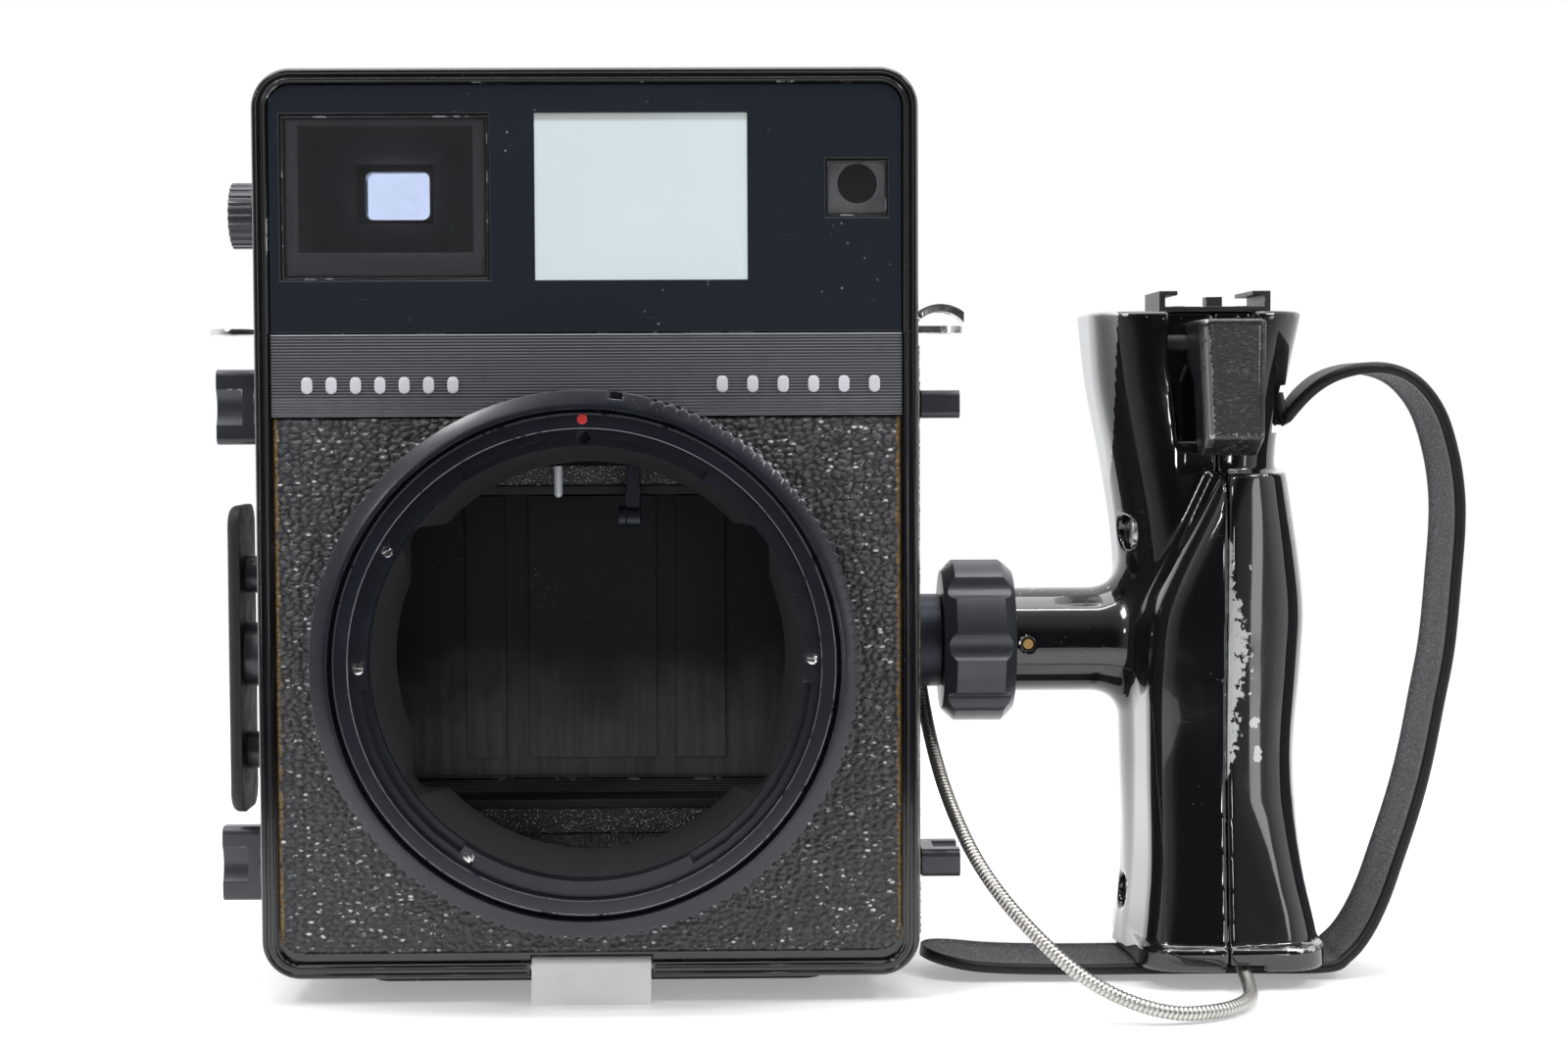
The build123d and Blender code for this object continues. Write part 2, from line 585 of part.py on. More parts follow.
def left_lug():
    """Flat strap lug with a round eye."""
    lug = block(-65.5, -HALF_W, LUG_Y - 5, LUG_Y + 5, LUG_Z, LUG_Z + 1.3)
    lug += rod_z(5.0, LUG_Z, LUG_Z + 1.3, -65.5, LUG_Y)
    return lug - rod_z(2.6, LUG_Z - 1, LUG_Z + 3, -65.5, LUG_Y)


def right_lug():
    """Flat strap lug under an arched strip of the same width, both with a round eye."""
    lug = block(HALF_W, 64.0, LUG_Y - 5, LUG_Y + 5, LUG_Z, LUG_Z + 1.3)
    lug += rod_z(4.6, LUG_Z, LUG_Z + 1.3, 63.8, LUG_Y)
    arch_y = (LUG_Y - 4.4, LUG_Y + 4.4)
    arch = rod_y(6.9, *arch_y, 64.0, LUG_Z - 1.6) - rod_y(5.5, *arch_y, 64.0, LUG_Z - 1.6)
    arch &= block(HALF_W, 68.3, *arch_y, LUG_Z + 0.6, LUG_Z + 6)
    return lug + arch - rod_z(2.4, LUG_Z - 1, LUG_Z + 8, 63.8, LUG_Y)


# ---------------------------------------------------------------- base
def base_plate():
    """Plate under the body that holds the tripod bush."""
    plate = slab_z(84, 28, 4, 0, BOTTOM, 0, 8)
    return plate - rod_z(7.0, -1, BOTTOM + 1, 0, 0)


def tripod_bush():
    """Bush with the tripod thread's bore, let into the base plate and the body's floor."""
    bush = rod_z(7.0, 0, BOTTOM, 0, 0) + rod_z(5.0, BOTTOM, BOTTOM + 5, 0, 0)
    return bush - rod_z(BUSH_R, -1, BUSH_DEPTH, 0, 0)


def foot():
    """Hinged foot that holds up the front edge; it folds back under the body."""
    knuckle = rod_x(1.5, -10.7, 10.7, FOOT_Y, FOOT_Z)
    blade = Pos(0, FOOT_Y, FOOT_Z) * Rot(-14, 0, 0) * block(-10.7, 10.7, -1.5, -0.2, -7.2, 0)
    blade -= block(-20, 20, -40, 0, -4, 0)
    return knuckle + blade - rod_x(0.8 + RUN, -20, 20, FOOT_Y, FOOT_Z)


# ---------------------------------------------------------------- grip
def gland():
    """Sleeve that the cable comes out of, in the pocket under the grip."""
    plane = Plane(origin=GLAND_AT, z_dir=GLAND_TO)
    return plane * Pos(0, 0, -2.5) * Cylinder(2.6, 5)


def grip_casting():
    """Grip and arm as cast, before it is split into its two halves."""
    grip = lofted(COLUMN) + lofted(FINGER)
    grip += slab_z(34.4, 49, 9, GRIP_BASE, GRIP_BASE + 4.2, 117.2, 4.8)
    grip += rod_x(ARM_R, 71.2, 108, GRIP_Y, MOUNT_Z)
    grip -= block(104.0, 126.5, 5.0, 21.5, 22.0, 96.0)
    grip -= block(108.9, 122.5, -30, -0.6, 99.2, GRIP_TOP + 1)
    grip -= block(108.9, 122.5, -30, -4.9, 94.6, 99.3)
    grip -= block(115.0, 122.2, -16.6, -6.2, GRIP_BASE - 1, 12.8)
    grip -= block(115.0, 122.2, -25, -16.5, GRIP_BASE - 1, 4.6)
    plane = Plane(origin=GLAND_AT, z_dir=GLAND_TO)
    grip -= plane * Pos(0, 0, -1) * Cylinder(2.6, 8)
    grip -= rod_x(1.5, 104.5, 127, PIVOT_Y, PIVOT_Z)
    grip -= rod_y(0.95, -3, 2, 80.8, MOUNT_Z)
    for y, z in GRIP_SCREWS:
        grip -= rod_x(3.0, 90, 103.2, y, z)
        grip -= rod_x(2.0, 100, 124, y, z)
    return grip - block(126.8, 140, STRAP_Y0 - 0.3, STRAP_Y1 + 0.3, 100.6, 109.8)


def grip_screw(y, z):
    """Slotted screw that pulls the halves together."""
    screw = rod_x(3.0, 100.6, 103.2, y, z) + rod_x(2.0, 103.2, 124, y, z)
    return screw - Pos(100.6, y, z) * Rot(35, 0, 0) * Box(1.6, 7, 0.8)


def trigger():
    """Trigger block with its stem, hung on the pivot pin."""
    face = Plane.YZ * make_face(Polyline(*TRIGGER_OUTLINE, close=True))
    solid = Pos(109.9, 0, 0) * extrude(face, 11.6)
    front = solid.edges().filter_by(Axis.X).group_by(Axis.Y)[0]
    solid = fillet(front, 0.8)
    return solid - rod_x(1.5 + RUN, 100, 130, PIVOT_Y, PIVOT_Z)


def trigger_spring():
    """Tube in the place of the return spring."""
    return rod_y(2.2, -7.3, -0.7, 115.7, 105.6) - rod_y(1.5, -9, 1, 115.7, 105.6)


def accessory_shoe():
    """Folded sheet shoe, open at front and back, with inward lips, four rivets and a stop block."""
    x0, x1 = 105.4, 126.2
    y0, y1 = -1.0, 17.0
    shoe = block(x0, x1, y0, y1, GRIP_TOP, GRIP_TOP + 1.0)
    for a, b, lip in ((x0, x0 + 1.1, x0 + 3.4), (x1, x1 - 1.1, x1 - 3.4)):
        shoe += block(a, b, y0, y1, GRIP_TOP, GRIP_TOP + 3.9)
        shoe += block(a, lip, y0, y1, GRIP_TOP + 3.1, GRIP_TOP + 3.9)
    for x in (109.6, 121.8):
        for y in (4, 13):
            shoe += rod_z(1.5, GRIP_TOP + 0.5, GRIP_TOP + 1.2, x, y)
    return shoe + block(114.2, 117.2, y0 + 0.4, 3.4, GRIP_TOP + 0.5, GRIP_TOP + 2.8)


def lock_ring():
    """Fluted nut that clamps the grip to the body's socket."""
    ring = rod_x(15.35, RING_X0, RING_X1, GRIP_Y, MOUNT_Z)
    ends = ring.edges().filter_by(GeomType.CIRCLE)
    ring = chamfer(ends, 2.2)
    for i in range(8):
        a = radians(45 * i)
        ring -= rod_x(3.4, RING_X0 - 1, RING_X1 + 1, GRIP_Y + 17.3 * cos(a), MOUNT_Z + 17.3 * sin(a))
    ring -= rod_x(ARM_R + RUN, 71.1, RING_X1 + 1, GRIP_Y, MOUNT_Z)
    return ring - rod_x(7.0 + RUN, RING_X0 - 1, 72, GRIP_Y, MOUNT_Z)


def grip_parts():
    casting = grip_casting()
    left = casting - block(GRIP_SEAM_X, 200, -50, 50, -5, 200)
    right = casting - block(50, GRIP_SEAM_X, -50, 50, -5, 200)
    write("grip_left_half", largest(left))
    write("grip_right_half", largest(right))
    write("grip_screws", *[grip_screw(y, z) for y, z in GRIP_SCREWS])
    write("arm_set_screw", rod_y(0.95, -1.9, 2, 80.8, MOUNT_Z))
    socket = rod_x(8.8, HALF_W, RING_X0 - 0.15, GRIP_Y, MOUNT_Z)
    write("grip_socket", socket + rod_x(7.0, HALF_W, 71.0, GRIP_Y, MOUNT_Z))
    write("grip_lock_ring", lock_ring())
    write("trigger", trigger())
    write("trigger_pin", rod_x(1.5, 104.5, 127, PIVOT_Y, PIVOT_Z))
    write("trigger_spring", trigger_spring())
    write("accessory_shoe", accessory_shoe())


# ---------------------------------------------------------------- strap
def strap():
    """Hand strap: a moulded band from the slot high on the grip, round and under its base."""
    points = [Vector(x, z) for x, z in STRAP_PATH]
    outer = []
    inner = []
    for i, point in enumerate(points):
        before = points[max(i - 1, 0)]
        after = points[min(i + 1, len(points) - 1)]
        along = (after - before).normalized()
        normal = Vector(-along.Y, along.X) * (STRAP_T / 2)
        outer.append(point + normal)
        inner.append(point - normal)
    outline = [(p.X, p.Y) for p in outer] + [(p.X, p.Y) for p in reversed(inner)]
    face = Plane.XZ * make_face(Polyline(*outline, close=True))
    band = Pos(0, STRAP_Y1, 0) * extrude(face, STRAP_Y1 - STRAP_Y0)
    middle = (STRAP_Y0 + STRAP_Y1) / 2
    half = (STRAP_Y1 - STRAP_Y0) / 2
    tail = block(55, 60.6 + half, STRAP_Y0 - 1, STRAP_Y1 + 1, 0, 8) - rod_z(half, -1, 9, 60.6 + half, middle)
    hole = rod_z(1.6, 0, 5, 96.0, middle)
    return band - tail - hole


# ---------------------------------------------------------------- release cable
def corner_radii(points, share=0.45):
    """Largest tangent arc for each inner corner of the route."""
    radii = []
    for a, b, c in zip(points, points[1:], points[2:]):
        turn = (b - a).get_angle(c - b)
        run = min((b - a).length, (c - b).length)
        radii.append(share * run / tan(radians(turn / 2)))
    return radii


def cable_parts():
    points = [Vector(*p) for p in CABLE_ROUTE]
    radii = corner_radii(points)
    path = FilletPolyline(*points, radius=radii)
    section = Plane(origin=path @ 0, z_dir=path % 0) * Circle(CABLE_D / 2)
    tube = sweep(section, path)
    write("release_cable", tube)
    write("cable_gland", gland())
    end = points[-1]
    along = (points[-1] - points[-2]).normalized()
    plane = Plane(origin=end, z_dir=along)
    tip = plane * Pos(0, 0, 3.5) * Cylinder(2.5, 7)
    tip += plane * Pos(0, 0, 8.5) * Cylinder(1.9, 3)
    tip += plane * Pos(0, 0, 13) * Cone(1.5, 1.1, 6)
    write("cable_tip", tip)
    area = section.face().area
    print("cable radii", [round(r, 1) for r in radii])
    print("cable length", round(path.length, 1))
    print("cable volume", round(tube.volume, 1), "expected", round(area * path.length, 1))


# ---------------------------------------------------------------- build
def main():
    prism = body_prism()
    write("body_shell", body_shell(prism))
    write("finder_housing", finder_housing(prism))
    finder_parts()
    write("ribbed_trim_plate", ribbed_trim())
    write("trim_studs", *trim_studs())
    write("front_leatherette", front_leather())
    for sign in (-1, 1):
        write(f"{side(sign)}_leatherette", side_leather(sign))
        write(f"{side(sign)}_cover_latch", cover_latch(sign))
        for name, z in zip(("lower", "upper"), ROD_ZS):
            write(f"{side(sign)}_{name}_clamp_knob", wing_knob(sign, z))
    write("mount_base_ring", base_ring())
    write("breech_lock_ring", breech_ring())
    write("bayonet_flange", bayonet_flange())
    write("flange_screws", *flange_screws())
    write("throat_ring", throat_ring())
    write("gate_baffle", baffle())
    write("light_trap_pads", *light_pads())
    write("bellows", bellows())
    write("rear_frame", rear_frame())
    write("extension_rods", *extension_rods())
    write("rear_cover", rear_cover())
    write("rangefinder_arm", *rangefinder_arm())
    write("rangefinder_bracket", rangefinder_bracket())
    write("interlock_pin", interlock_pin())
    write("frame_selector_dial", frame_dial())
    write("side_accessory_plate", side_plate())
    write("side_plate_posts", *side_posts())
    write("left_strap_lug", left_lug())
    write("right_strap_lug", right_lug())
    write("base_plate", base_plate())
    write("tripod_bush", tripod_bush())
    write("folding_foot", foot())
    write("foot_pin", rod_x(0.8, -13, 13, FOOT_Y, FOOT_Z))
    grip_parts()
    write("hand_strap", strap())
    cable_parts()


main()
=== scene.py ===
import json
from math import cos, pi, radians, sin, sqrt

import bmesh
import bpy
import numpy as np
from mathutils import Matrix, Vector

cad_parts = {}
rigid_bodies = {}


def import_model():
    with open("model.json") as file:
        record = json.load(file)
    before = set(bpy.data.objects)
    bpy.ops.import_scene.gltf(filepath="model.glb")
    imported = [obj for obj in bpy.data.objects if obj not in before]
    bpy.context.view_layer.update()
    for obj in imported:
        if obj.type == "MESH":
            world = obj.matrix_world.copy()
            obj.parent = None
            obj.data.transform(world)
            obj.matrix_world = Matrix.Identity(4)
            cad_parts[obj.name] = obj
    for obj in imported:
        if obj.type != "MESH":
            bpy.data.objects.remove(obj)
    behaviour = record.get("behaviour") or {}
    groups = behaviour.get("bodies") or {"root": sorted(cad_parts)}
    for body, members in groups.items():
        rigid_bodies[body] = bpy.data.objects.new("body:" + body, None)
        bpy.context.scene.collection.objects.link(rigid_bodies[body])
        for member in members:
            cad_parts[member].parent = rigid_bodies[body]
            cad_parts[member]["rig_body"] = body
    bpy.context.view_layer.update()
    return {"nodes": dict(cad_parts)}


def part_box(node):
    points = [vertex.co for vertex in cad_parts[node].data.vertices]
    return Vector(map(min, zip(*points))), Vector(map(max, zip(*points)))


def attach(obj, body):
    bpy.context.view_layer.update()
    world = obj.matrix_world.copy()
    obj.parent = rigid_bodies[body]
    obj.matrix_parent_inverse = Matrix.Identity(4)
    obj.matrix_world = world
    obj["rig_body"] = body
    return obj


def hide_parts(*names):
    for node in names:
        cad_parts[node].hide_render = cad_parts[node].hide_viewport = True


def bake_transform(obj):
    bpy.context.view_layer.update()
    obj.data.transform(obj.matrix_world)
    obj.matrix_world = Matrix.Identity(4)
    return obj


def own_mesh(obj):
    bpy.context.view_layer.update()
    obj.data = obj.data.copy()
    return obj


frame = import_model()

MM = 0.001
NODES = frame["nodes"]
LENS_AXIS_Z = 61.9
BODY_FRONT_Y = -25.0
BODY_AIM = (0.0, 0.0, 0.08)


# ---------------- camera, world and lights
CAMERA_AT = (0.02786, -0.4948, 0.1077)
CAMERA_DEGREES = (0.85, -2.648, -0.254)
CAMERA_LENS = 60.75
# brightness of the room against direction, from behind the camera (0) to behind the object (1)
ROOM_STOPS = ((0.0, 0.008), (0.022, 0.012), (0.05, 0.05), (0.1, 0.24), (0.22, 0.42), (0.34, 0.78),
              (0.5, 0.95), (1.0, 1.0))
LIGHTS = (
    # name, place, target, width and height in metres, watts, shape
    ("key_left", (-0.55, -0.6, 0.95), BODY_AIM, 0.2, 0.2, 4.2, "RECTANGLE"),
    ("key_right", (0.75, -0.45, 0.85), (0.05, 0.0, 0.08), 0.22, 0.22, 3.6, "RECTANGLE"),
    ("front_left", (-0.72, -0.9, 0.5), BODY_AIM, 0.12, 0.12, 1.0, "RECTANGLE"),
    ("right_band", (1.05, -0.86, 0.1), (0.1, 0.0, 0.06), 0.16, 0.6, 0.9, "RECTANGLE"),
    ("strip", (0.0, -0.3, 1.1), (0.0, 0.0, 0.1), 1.4, 0.05, 4.0, "RECTANGLE"),
    ("fill", (0.0, -1.3, 0.25), BODY_AIM, 0.6, 0.6, 3.0, "RECTANGLE"),
    ("top", (0.05, 0.1, 1.0), (0.05, 0.0, 0.0), 0.8, 0.6, 5.0, "RECTANGLE"),
    ("low_round", (0.42, -1.25, -0.0), (0.12, 0.0, 0.02), 0.1, 0.1, 0.5, "DISK"),
)


def show(name, data):
    """New object for the data, linked to the scene."""
    thing = bpy.data.objects.new(name, data)
    bpy.context.scene.collection.objects.link(thing)
    return thing


def place_camera():
    """Camera half a metre in front of the lens mount, level with the middle of the body."""
    yaw, pitch, roll = [radians(a) for a in CAMERA_DEGREES]
    forward = Vector((sin(yaw) * cos(pitch), cos(yaw) * cos(pitch), sin(pitch)))
    right = Vector((cos(yaw), -sin(yaw), 0.0))
    up = right.cross(forward)
    x_axis = cos(roll) * right + sin(roll) * up
    y_axis = -sin(roll) * right + cos(roll) * up
    data = bpy.data.cameras.new("camera")
    data.lens = CAMERA_LENS
    data.sensor_width = 36.0
    data.clip_start = 0.01
    data.clip_end = 50.0
    camera = show("camera", data)
    turn = Matrix((x_axis, y_axis, -forward)).transposed().to_4x4()
    camera.matrix_world = Matrix.Translation(CAMERA_AT) @ turn
    bpy.context.scene.camera = camera


def make_world():
    """White room, with its side behind the camera darker for reflections."""
    world = bpy.data.worlds.new("studio")
    bpy.context.scene.world = world
    world.use_nodes = True
    tree = world.node_tree
    tree.nodes.clear()
    new, link = tree.nodes.new, tree.links.new
    split, scale, ramp = [new("ShaderNode" + kind) for kind in ("SeparateXYZ", "MapRange", "ValToRGB")]
    link(new("ShaderNodeTexCoord").outputs["Generated"], split.inputs[0])
    link(split.outputs["Y"], scale.inputs["Value"])
    scale.inputs["From Min"].default_value = -1.0
    link(scale.outputs["Result"], ramp.inputs["Fac"])
    while len(ramp.color_ramp.elements) < len(ROOM_STOPS):
        ramp.color_ramp.elements.new(0.5)
    for element, (at, level) in zip(ramp.color_ramp.elements, ROOM_STOPS):
        element.position = at
        element.color = (level, level, level * 1.02, 1.0)
    lit, seen = new("ShaderNodeBackground"), new("ShaderNodeBackground")
    link(ramp.outputs["Color"], lit.inputs["Color"])
    seen.inputs["Color"].default_value = (1.0, 1.0, 1.0, 1.0)
    mix = new("ShaderNodeMixShader")
    link(new("ShaderNodeLightPath").outputs["Is Camera Ray"], mix.inputs["Fac"])
    link(lit.outputs[0], mix.inputs[1])
    link(seen.outputs[0], mix.inputs[2])
    link(mix.outputs[0], new("ShaderNodeOutputWorld").inputs["Surface"])


def make_lights():
    for name, at, target, width, height, power, outline in LIGHTS:
        data = bpy.data.lights.new(name, "AREA")
        data.shape = outline
        data.size = width
        data.size_y = height
        data.energy = power
        light = show(name, data)
        aim = (Vector(target) - Vector(at)).to_track_quat("-Z", "Y")
        light.matrix_world = Matrix.Translation(at) @ aim.to_matrix().to_4x4()
        light.visible_glossy = light.visible_transmission = name != "fill"


place_camera()
make_world()
bpy.context.scene.view_settings.view_transform = "Standard"
make_lights()


# ---------------- materials
class Finish:
    """A procedural finish built round one Principled shader."""

    def __init__(self, name, base, rough, metallic=0.0, coat=0.0, coat_rough=0.05, ior=1.5, specular=0.5):
        self.material = bpy.data.materials.new(name)
        self.material.use_nodes = True
        self.tree = self.material.node_tree
        self.shader = self.tree.nodes["Principled BSDF"]
        self.color = (*base, 1.0)
        self.rough = rough
        self.metallic = metallic
        self.normal = None
        self.set("Base Color", self.color)
        self.set("Roughness", rough)
        self.set("Metallic", metallic)
        self.set("Coat Weight", coat)
        self.set("Coat Roughness", coat_rough)
        self.set("IOR", ior)
        self.set("Specular IOR Level", specular)
        self.where = self.add("ShaderNodeTexCoord").outputs["Object"]

    def set(self, socket, value):
        self.plug(self.shader.inputs[socket], value)

    def plug(self, socket, value):
        if isinstance(value, bpy.types.NodeSocket):
            self.tree.links.new(value, socket)
        else:
            socket.default_value = value

    def add(self, kind, inputs=(), **values):
        node = self.tree.nodes.new(kind)
        for key, value in values.items():
            setattr(node, key, value)
        for key, value in dict(inputs).items():
            self.plug(node.inputs[key], value)
        return node

    def math(self, operation, a, b=0.0, c=0.0):
        return self.add("ShaderNodeMath", {0: a, 1: b, 2: c}, operation=operation).outputs[0]

    def stretched(self, scale, turn=0.0):
        inputs = {"Vector": self.where, "Scale": scale, "Rotation": (0.0, turn, 0.0)}
        return self.add("ShaderNodeMapping", inputs).outputs[0]

    def noise(self, scale, detail=3.0, where=None, rough=0.55):
        inputs = {"Vector": where or self.where, "Scale": scale, "Detail": detail, "Roughness": rough}
        return self.add("ShaderNodeTexNoise", inputs).outputs["Fac"]

    def cells(self, scale, where=None):
        inputs = {"Vector": where or self.where, "Scale": scale}
        return self.add("ShaderNodeTexVoronoi", inputs).outputs["Distance"]

    def steps(self, value, low, high, start=0.0, end=1.0, kind="SMOOTHSTEP"):
        inputs = {"Value": value, "From Min": low, "From Max": high, "To Min": start, "To Max": end}
        return self.add("ShaderNodeMapRange", inputs, interpolation_type=kind).outputs["Result"]

    def patches(self, scale, detail, low, high, amount=1.0):
        """Soft patches of noise, up to the amount."""
        return self.steps(self.noise(scale, detail), low, high, 0.0, amount)

    def attribute(self, name):
        return self.add("ShaderNodeAttribute", attribute_name=name).outputs["Fac"]

    def axis(self, index):
        return self.add("ShaderNodeSeparateXYZ", {0: self.where}).outputs[index]

    def tint(self, other, factor):
        """Blend the colour so far towards another one."""
        inputs = {"Factor": factor, 6: self.color, 7: (*other, 1.0)}
        self.color = self.add("ShaderNodeMix", inputs, data_type="RGBA").outputs[2]
        self.set("Base Color", self.color)

    def vary(self, socket, now, factor, other):
        mixed = self.add("ShaderNodeMix", {0: factor, 2: now, 3: other}, data_type="FLOAT").outputs[0]
        self.set(socket, mixed)
        return mixed

    def vary_rough(self, factor, other):
        self.rough = self.vary("Roughness", self.rough, self.steps(factor, 0.0, 1.0, kind="LINEAR"), other)

    def bump(self, height, depth_mm, strength=1.0):
        inputs = {"Strength": strength, "Distance": depth_mm * MM, "Height": height}
        if self.normal:
            inputs["Normal"] = self.normal
        self.normal = self.add("ShaderNodeBump", inputs).outputs["Normal"]
        self.set("Normal", self.normal)

    def worn(self, attribute, metal, patchy=220.0, spread=0.8, rough=0.38):
        """Bare metal where the attribute and a patchy noise add up."""
        noise = self.math("SUBTRACT", self.noise(patchy, 4.0, rough=0.65), 0.5)
        level = self.math("MULTIPLY_ADD", noise, spread, self.attribute(attribute))
        mask = self.steps(level, 0.5, 0.56)
        self.tint(metal, mask)
        self.vary_rough(mask, rough)
        self.metallic = self.vary("Metallic", self.metallic, mask, 0.9)
        self.bump(self.math("SUBTRACT", 1.0, mask), 0.03)

    def dust(self, amount=0.5, scale=900.0, color=(0.3, 0.3, 0.29)):
        specks = self.steps(self.cells(scale), 0.11, 0.06)
        self.tint(color, self.math("MULTIPLY", specks, self.patches(60.0, 2.0, 0.55, 0.7, amount)))

    def scratches(self, amount=0.3, turn=0.4):
        lines = self.noise(1.0, 4.0, self.stretched((60.0, 900.0, 2600.0), turn), 0.7)
        patch = self.patches(45.0, 2.0, 0.5, 0.62, amount)
        mask = self.math("MULTIPLY", self.steps(lines, 0.66, 0.72), patch)
        self.vary_rough(mask, 0.6)
        self.tint((0.16, 0.16, 0.16), mask)


def gloss_enamel():
    f = Finish("black_enamel", (0.006, 0.006, 0.0075), 0.16, coat=0.5, coat_rough=0.04)
    f.vary_rough(f.patches(70.0, 4.0, 0.45, 0.75), 0.3)
    f.bump(f.noise(420.0, 2.0), 0.012)
    f.scratches(0.35)
    f.dust(0.6)
    f.worn("edge", (0.42, 0.42, 0.42), 140.0, 0.9)
    return f.material


def grip_enamel():
    f = Finish("grip_enamel", (0.005, 0.005, 0.006), 0.07, coat=0.8, coat_rough=0.02)
    f.vary_rough(f.patches(55.0, 4.0, 0.5, 0.8), 0.2)
    f.bump(f.noise(260.0, 2.0), 0.01)
    f.scratches(0.5, 1.1)
    f.dust(0.5)
    f.worn("wear", (0.5, 0.51, 0.5), 700.0, 1.5, 0.42)
    return f.material


def anodised(name, base=(0.018, 0.021, 0.03), rough=0.3, metallic=0.55, edge=(0.3, 0.31, 0.34), coat=0.0):
    """Dark turned metal: fine circular tool marks and lighter edges."""
    f = Finish(name, base, rough, metallic=metallic, coat=coat, coat_rough=0.18)
    f.vary_rough(f.noise(300.0, 3.0), rough + 0.14)
    f.tint(tuple(c * 2.0 for c in base), f.patches(35.0, 3.0, 0.35, 0.8, 0.7))
    f.bump(f.noise(2600.0, 2.0), 0.012)
    f.dust(0.7)
    f.worn("edge", edge, 240.0, 0.9, 0.3)
    return f.material


def matt_black(name, base=(0.006, 0.006, 0.0065), rough=0.62):
    f = Finish(name, base, rough)
    f.tint((0.022, 0.022, 0.023), f.patches(140.0, 5.0, 0.45, 0.9))
    f.bump(f.noise(3200.0, 3.0), 0.03)
    f.dust(0.9, 1100.0)
    return f.material


def turned_metal(name, base, rough, grain=(1.0, 1.0, 1.0), dirt=0.35, metallic=1.0):
    f = Finish(name, base, rough, metallic=metallic)
    lines = f.noise(700.0, 4.0, f.stretched(grain))
    f.vary_rough(lines, rough + 0.22)
    f.tint(tuple(c * 0.35 for c in base), f.patches(160.0, 5.0, 0.52, 0.85, dirt))
    f.bump(lines, 0.008)
    return f.material


def leatherette():
    """Black pebbled leather with small painted glints on its pebbles, painted shade in its grooves and
    towards its bottom, and brown glue along its upright edges.
    """
    f = Finish("leatherette", (0.007, 0.0075, 0.0085), 0.3, specular=0.7)
    relief = f.attribute("relief")
    # Painted shade: the grooves between the pebbles stay dark while the pebble tops are lighter.
    f.tint((0.052, 0.054, 0.058), f.steps(relief, 0.25, 0.85))
    blur = f.add("ShaderNodeTexNoise").outputs["Color"]
    warp = f.add("ShaderNodeVectorMath", {0: blur, 1: (MM, MM, MM), 2: f.where}, operation="MULTIPLY_ADD")
    fine = f.cells(1500.0, warp.outputs[0])
    f.bump(f.math("POWER", fine, 1.6), 0.16, 0.9)
    f.bump(f.noise(3600.0, 2.0), 0.03, 0.9)
    f.vary_rough(f.noise(900.0, 3.0), 0.5)
    # Painted shade: the leather darkens towards the bottom.
    f.tint((0.014, 0.0145, 0.016), f.steps(f.axis(2), 0.075, 0.02, 0.0, 0.55))
    # Painted glints: small bright highlights on the raised pebbles.
    glint_dashes = f.cells(1.0, f.stretched((520.0, 520.0, 1050.0)))
    painted_glint = f.math("MULTIPLY", f.steps(glint_dashes, 0.36, 0.12), f.patches(260.0, 3.0, 0.42, 0.6))
    f.tint((0.62, 0.63, 0.65), f.math("MULTIPLY", painted_glint, f.steps(relief, 0.35, 0.6)))
    f.dust(0.8, 700.0, (0.35, 0.34, 0.32))
    glue = f.math("MULTIPLY_ADD", f.math("SUBTRACT", f.noise(420.0, 5.0), 0.5), 1.3, f.attribute("glue"))
    f.tint((0.17, 0.1, 0.03), f.steps(glue, 0.66, 0.84, 0.0, 0.9))
    return f.material


RIB_Z0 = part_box("ribbed_trim_plate")[0][2] + 0.00035
RIB_PITCH = 0.000535


def ribbed_metal():
    f = Finish("trim_grey", (0.022, 0.024, 0.028), 0.34)
    f.vary_rough(f.noise(500.0, 3.0), 0.5)
    # Painted highlights: lighter stripes at the rib pitch, standing for light caught on the rib crests.
    rib = f.math("SINE", f.math("MULTIPLY", f.math("SUBTRACT", f.axis(2), RIB_Z0), 2 * pi / RIB_PITCH))
    f.tint((0.34, 0.36, 0.39), f.steps(rib, -0.1, 0.6))
    f.tint((0.06, 0.055, 0.045), f.patches(240.0, 5.0, 0.55, 0.85, 0.6))
    f.bump(f.noise(2400.0, 3.0), 0.01)
    f.dust(0.8, 800.0)
    return f.material


def polished_plate():
    """Dark window plate, smooth enough to mirror the room."""
    f = Finish("window_black", (0.016, 0.02, 0.027), 0.06, coat=0.4, coat_rough=0.02)
    f.vary_rough(f.patches(30.0, 4.0, 0.45, 0.8), 0.16)
    f.scratches(0.5, 0.9)
    f.dust(1.0, 420.0, (0.25, 0.25, 0.25))
    f.bump(f.noise(40.0, 1.0), 0.01)
    return f.material


def clear_glass(name, tint=(0.96, 0.97, 1.0), transmission=1.0):
    """Thin coated glass that doesn't shift what is behind it; its reflections come from the coat."""
    f = Finish(name, tint, 0.0, coat=0.5, coat_rough=0.01, ior=1.01)
    f.set("Transmission Weight", transmission)
    f.tint(tuple(c * 0.93 for c in tint), f.patches(260.0, 4.0, 0.5, 0.8))
    f.bump(f.noise(25.0, 2.0), 0.002)
    return f.material


def frosted_glass():
    f = Finish("frosted_glass", (0.58, 0.66, 0.68), 0.42, coat=0.25, coat_rough=0.12)
    f.set("Subsurface Weight", 0.15)
    f.set("Subsurface Radius", (0.002, 0.002, 0.002))
    shaded_top = f.steps(f.axis(2), 0.1568, 0.1576)
    f.tint((0.33, 0.36, 0.35), shaded_top)
    f.tint((0.65, 0.73, 0.75), f.patches(18.0, 2.0, 0.3, 0.8, 0.5))
    f.bump(f.noise(2800.0, 2.0), 0.01)
    f.dust(0.3, 500.0, (0.3, 0.3, 0.3))
    return f.material


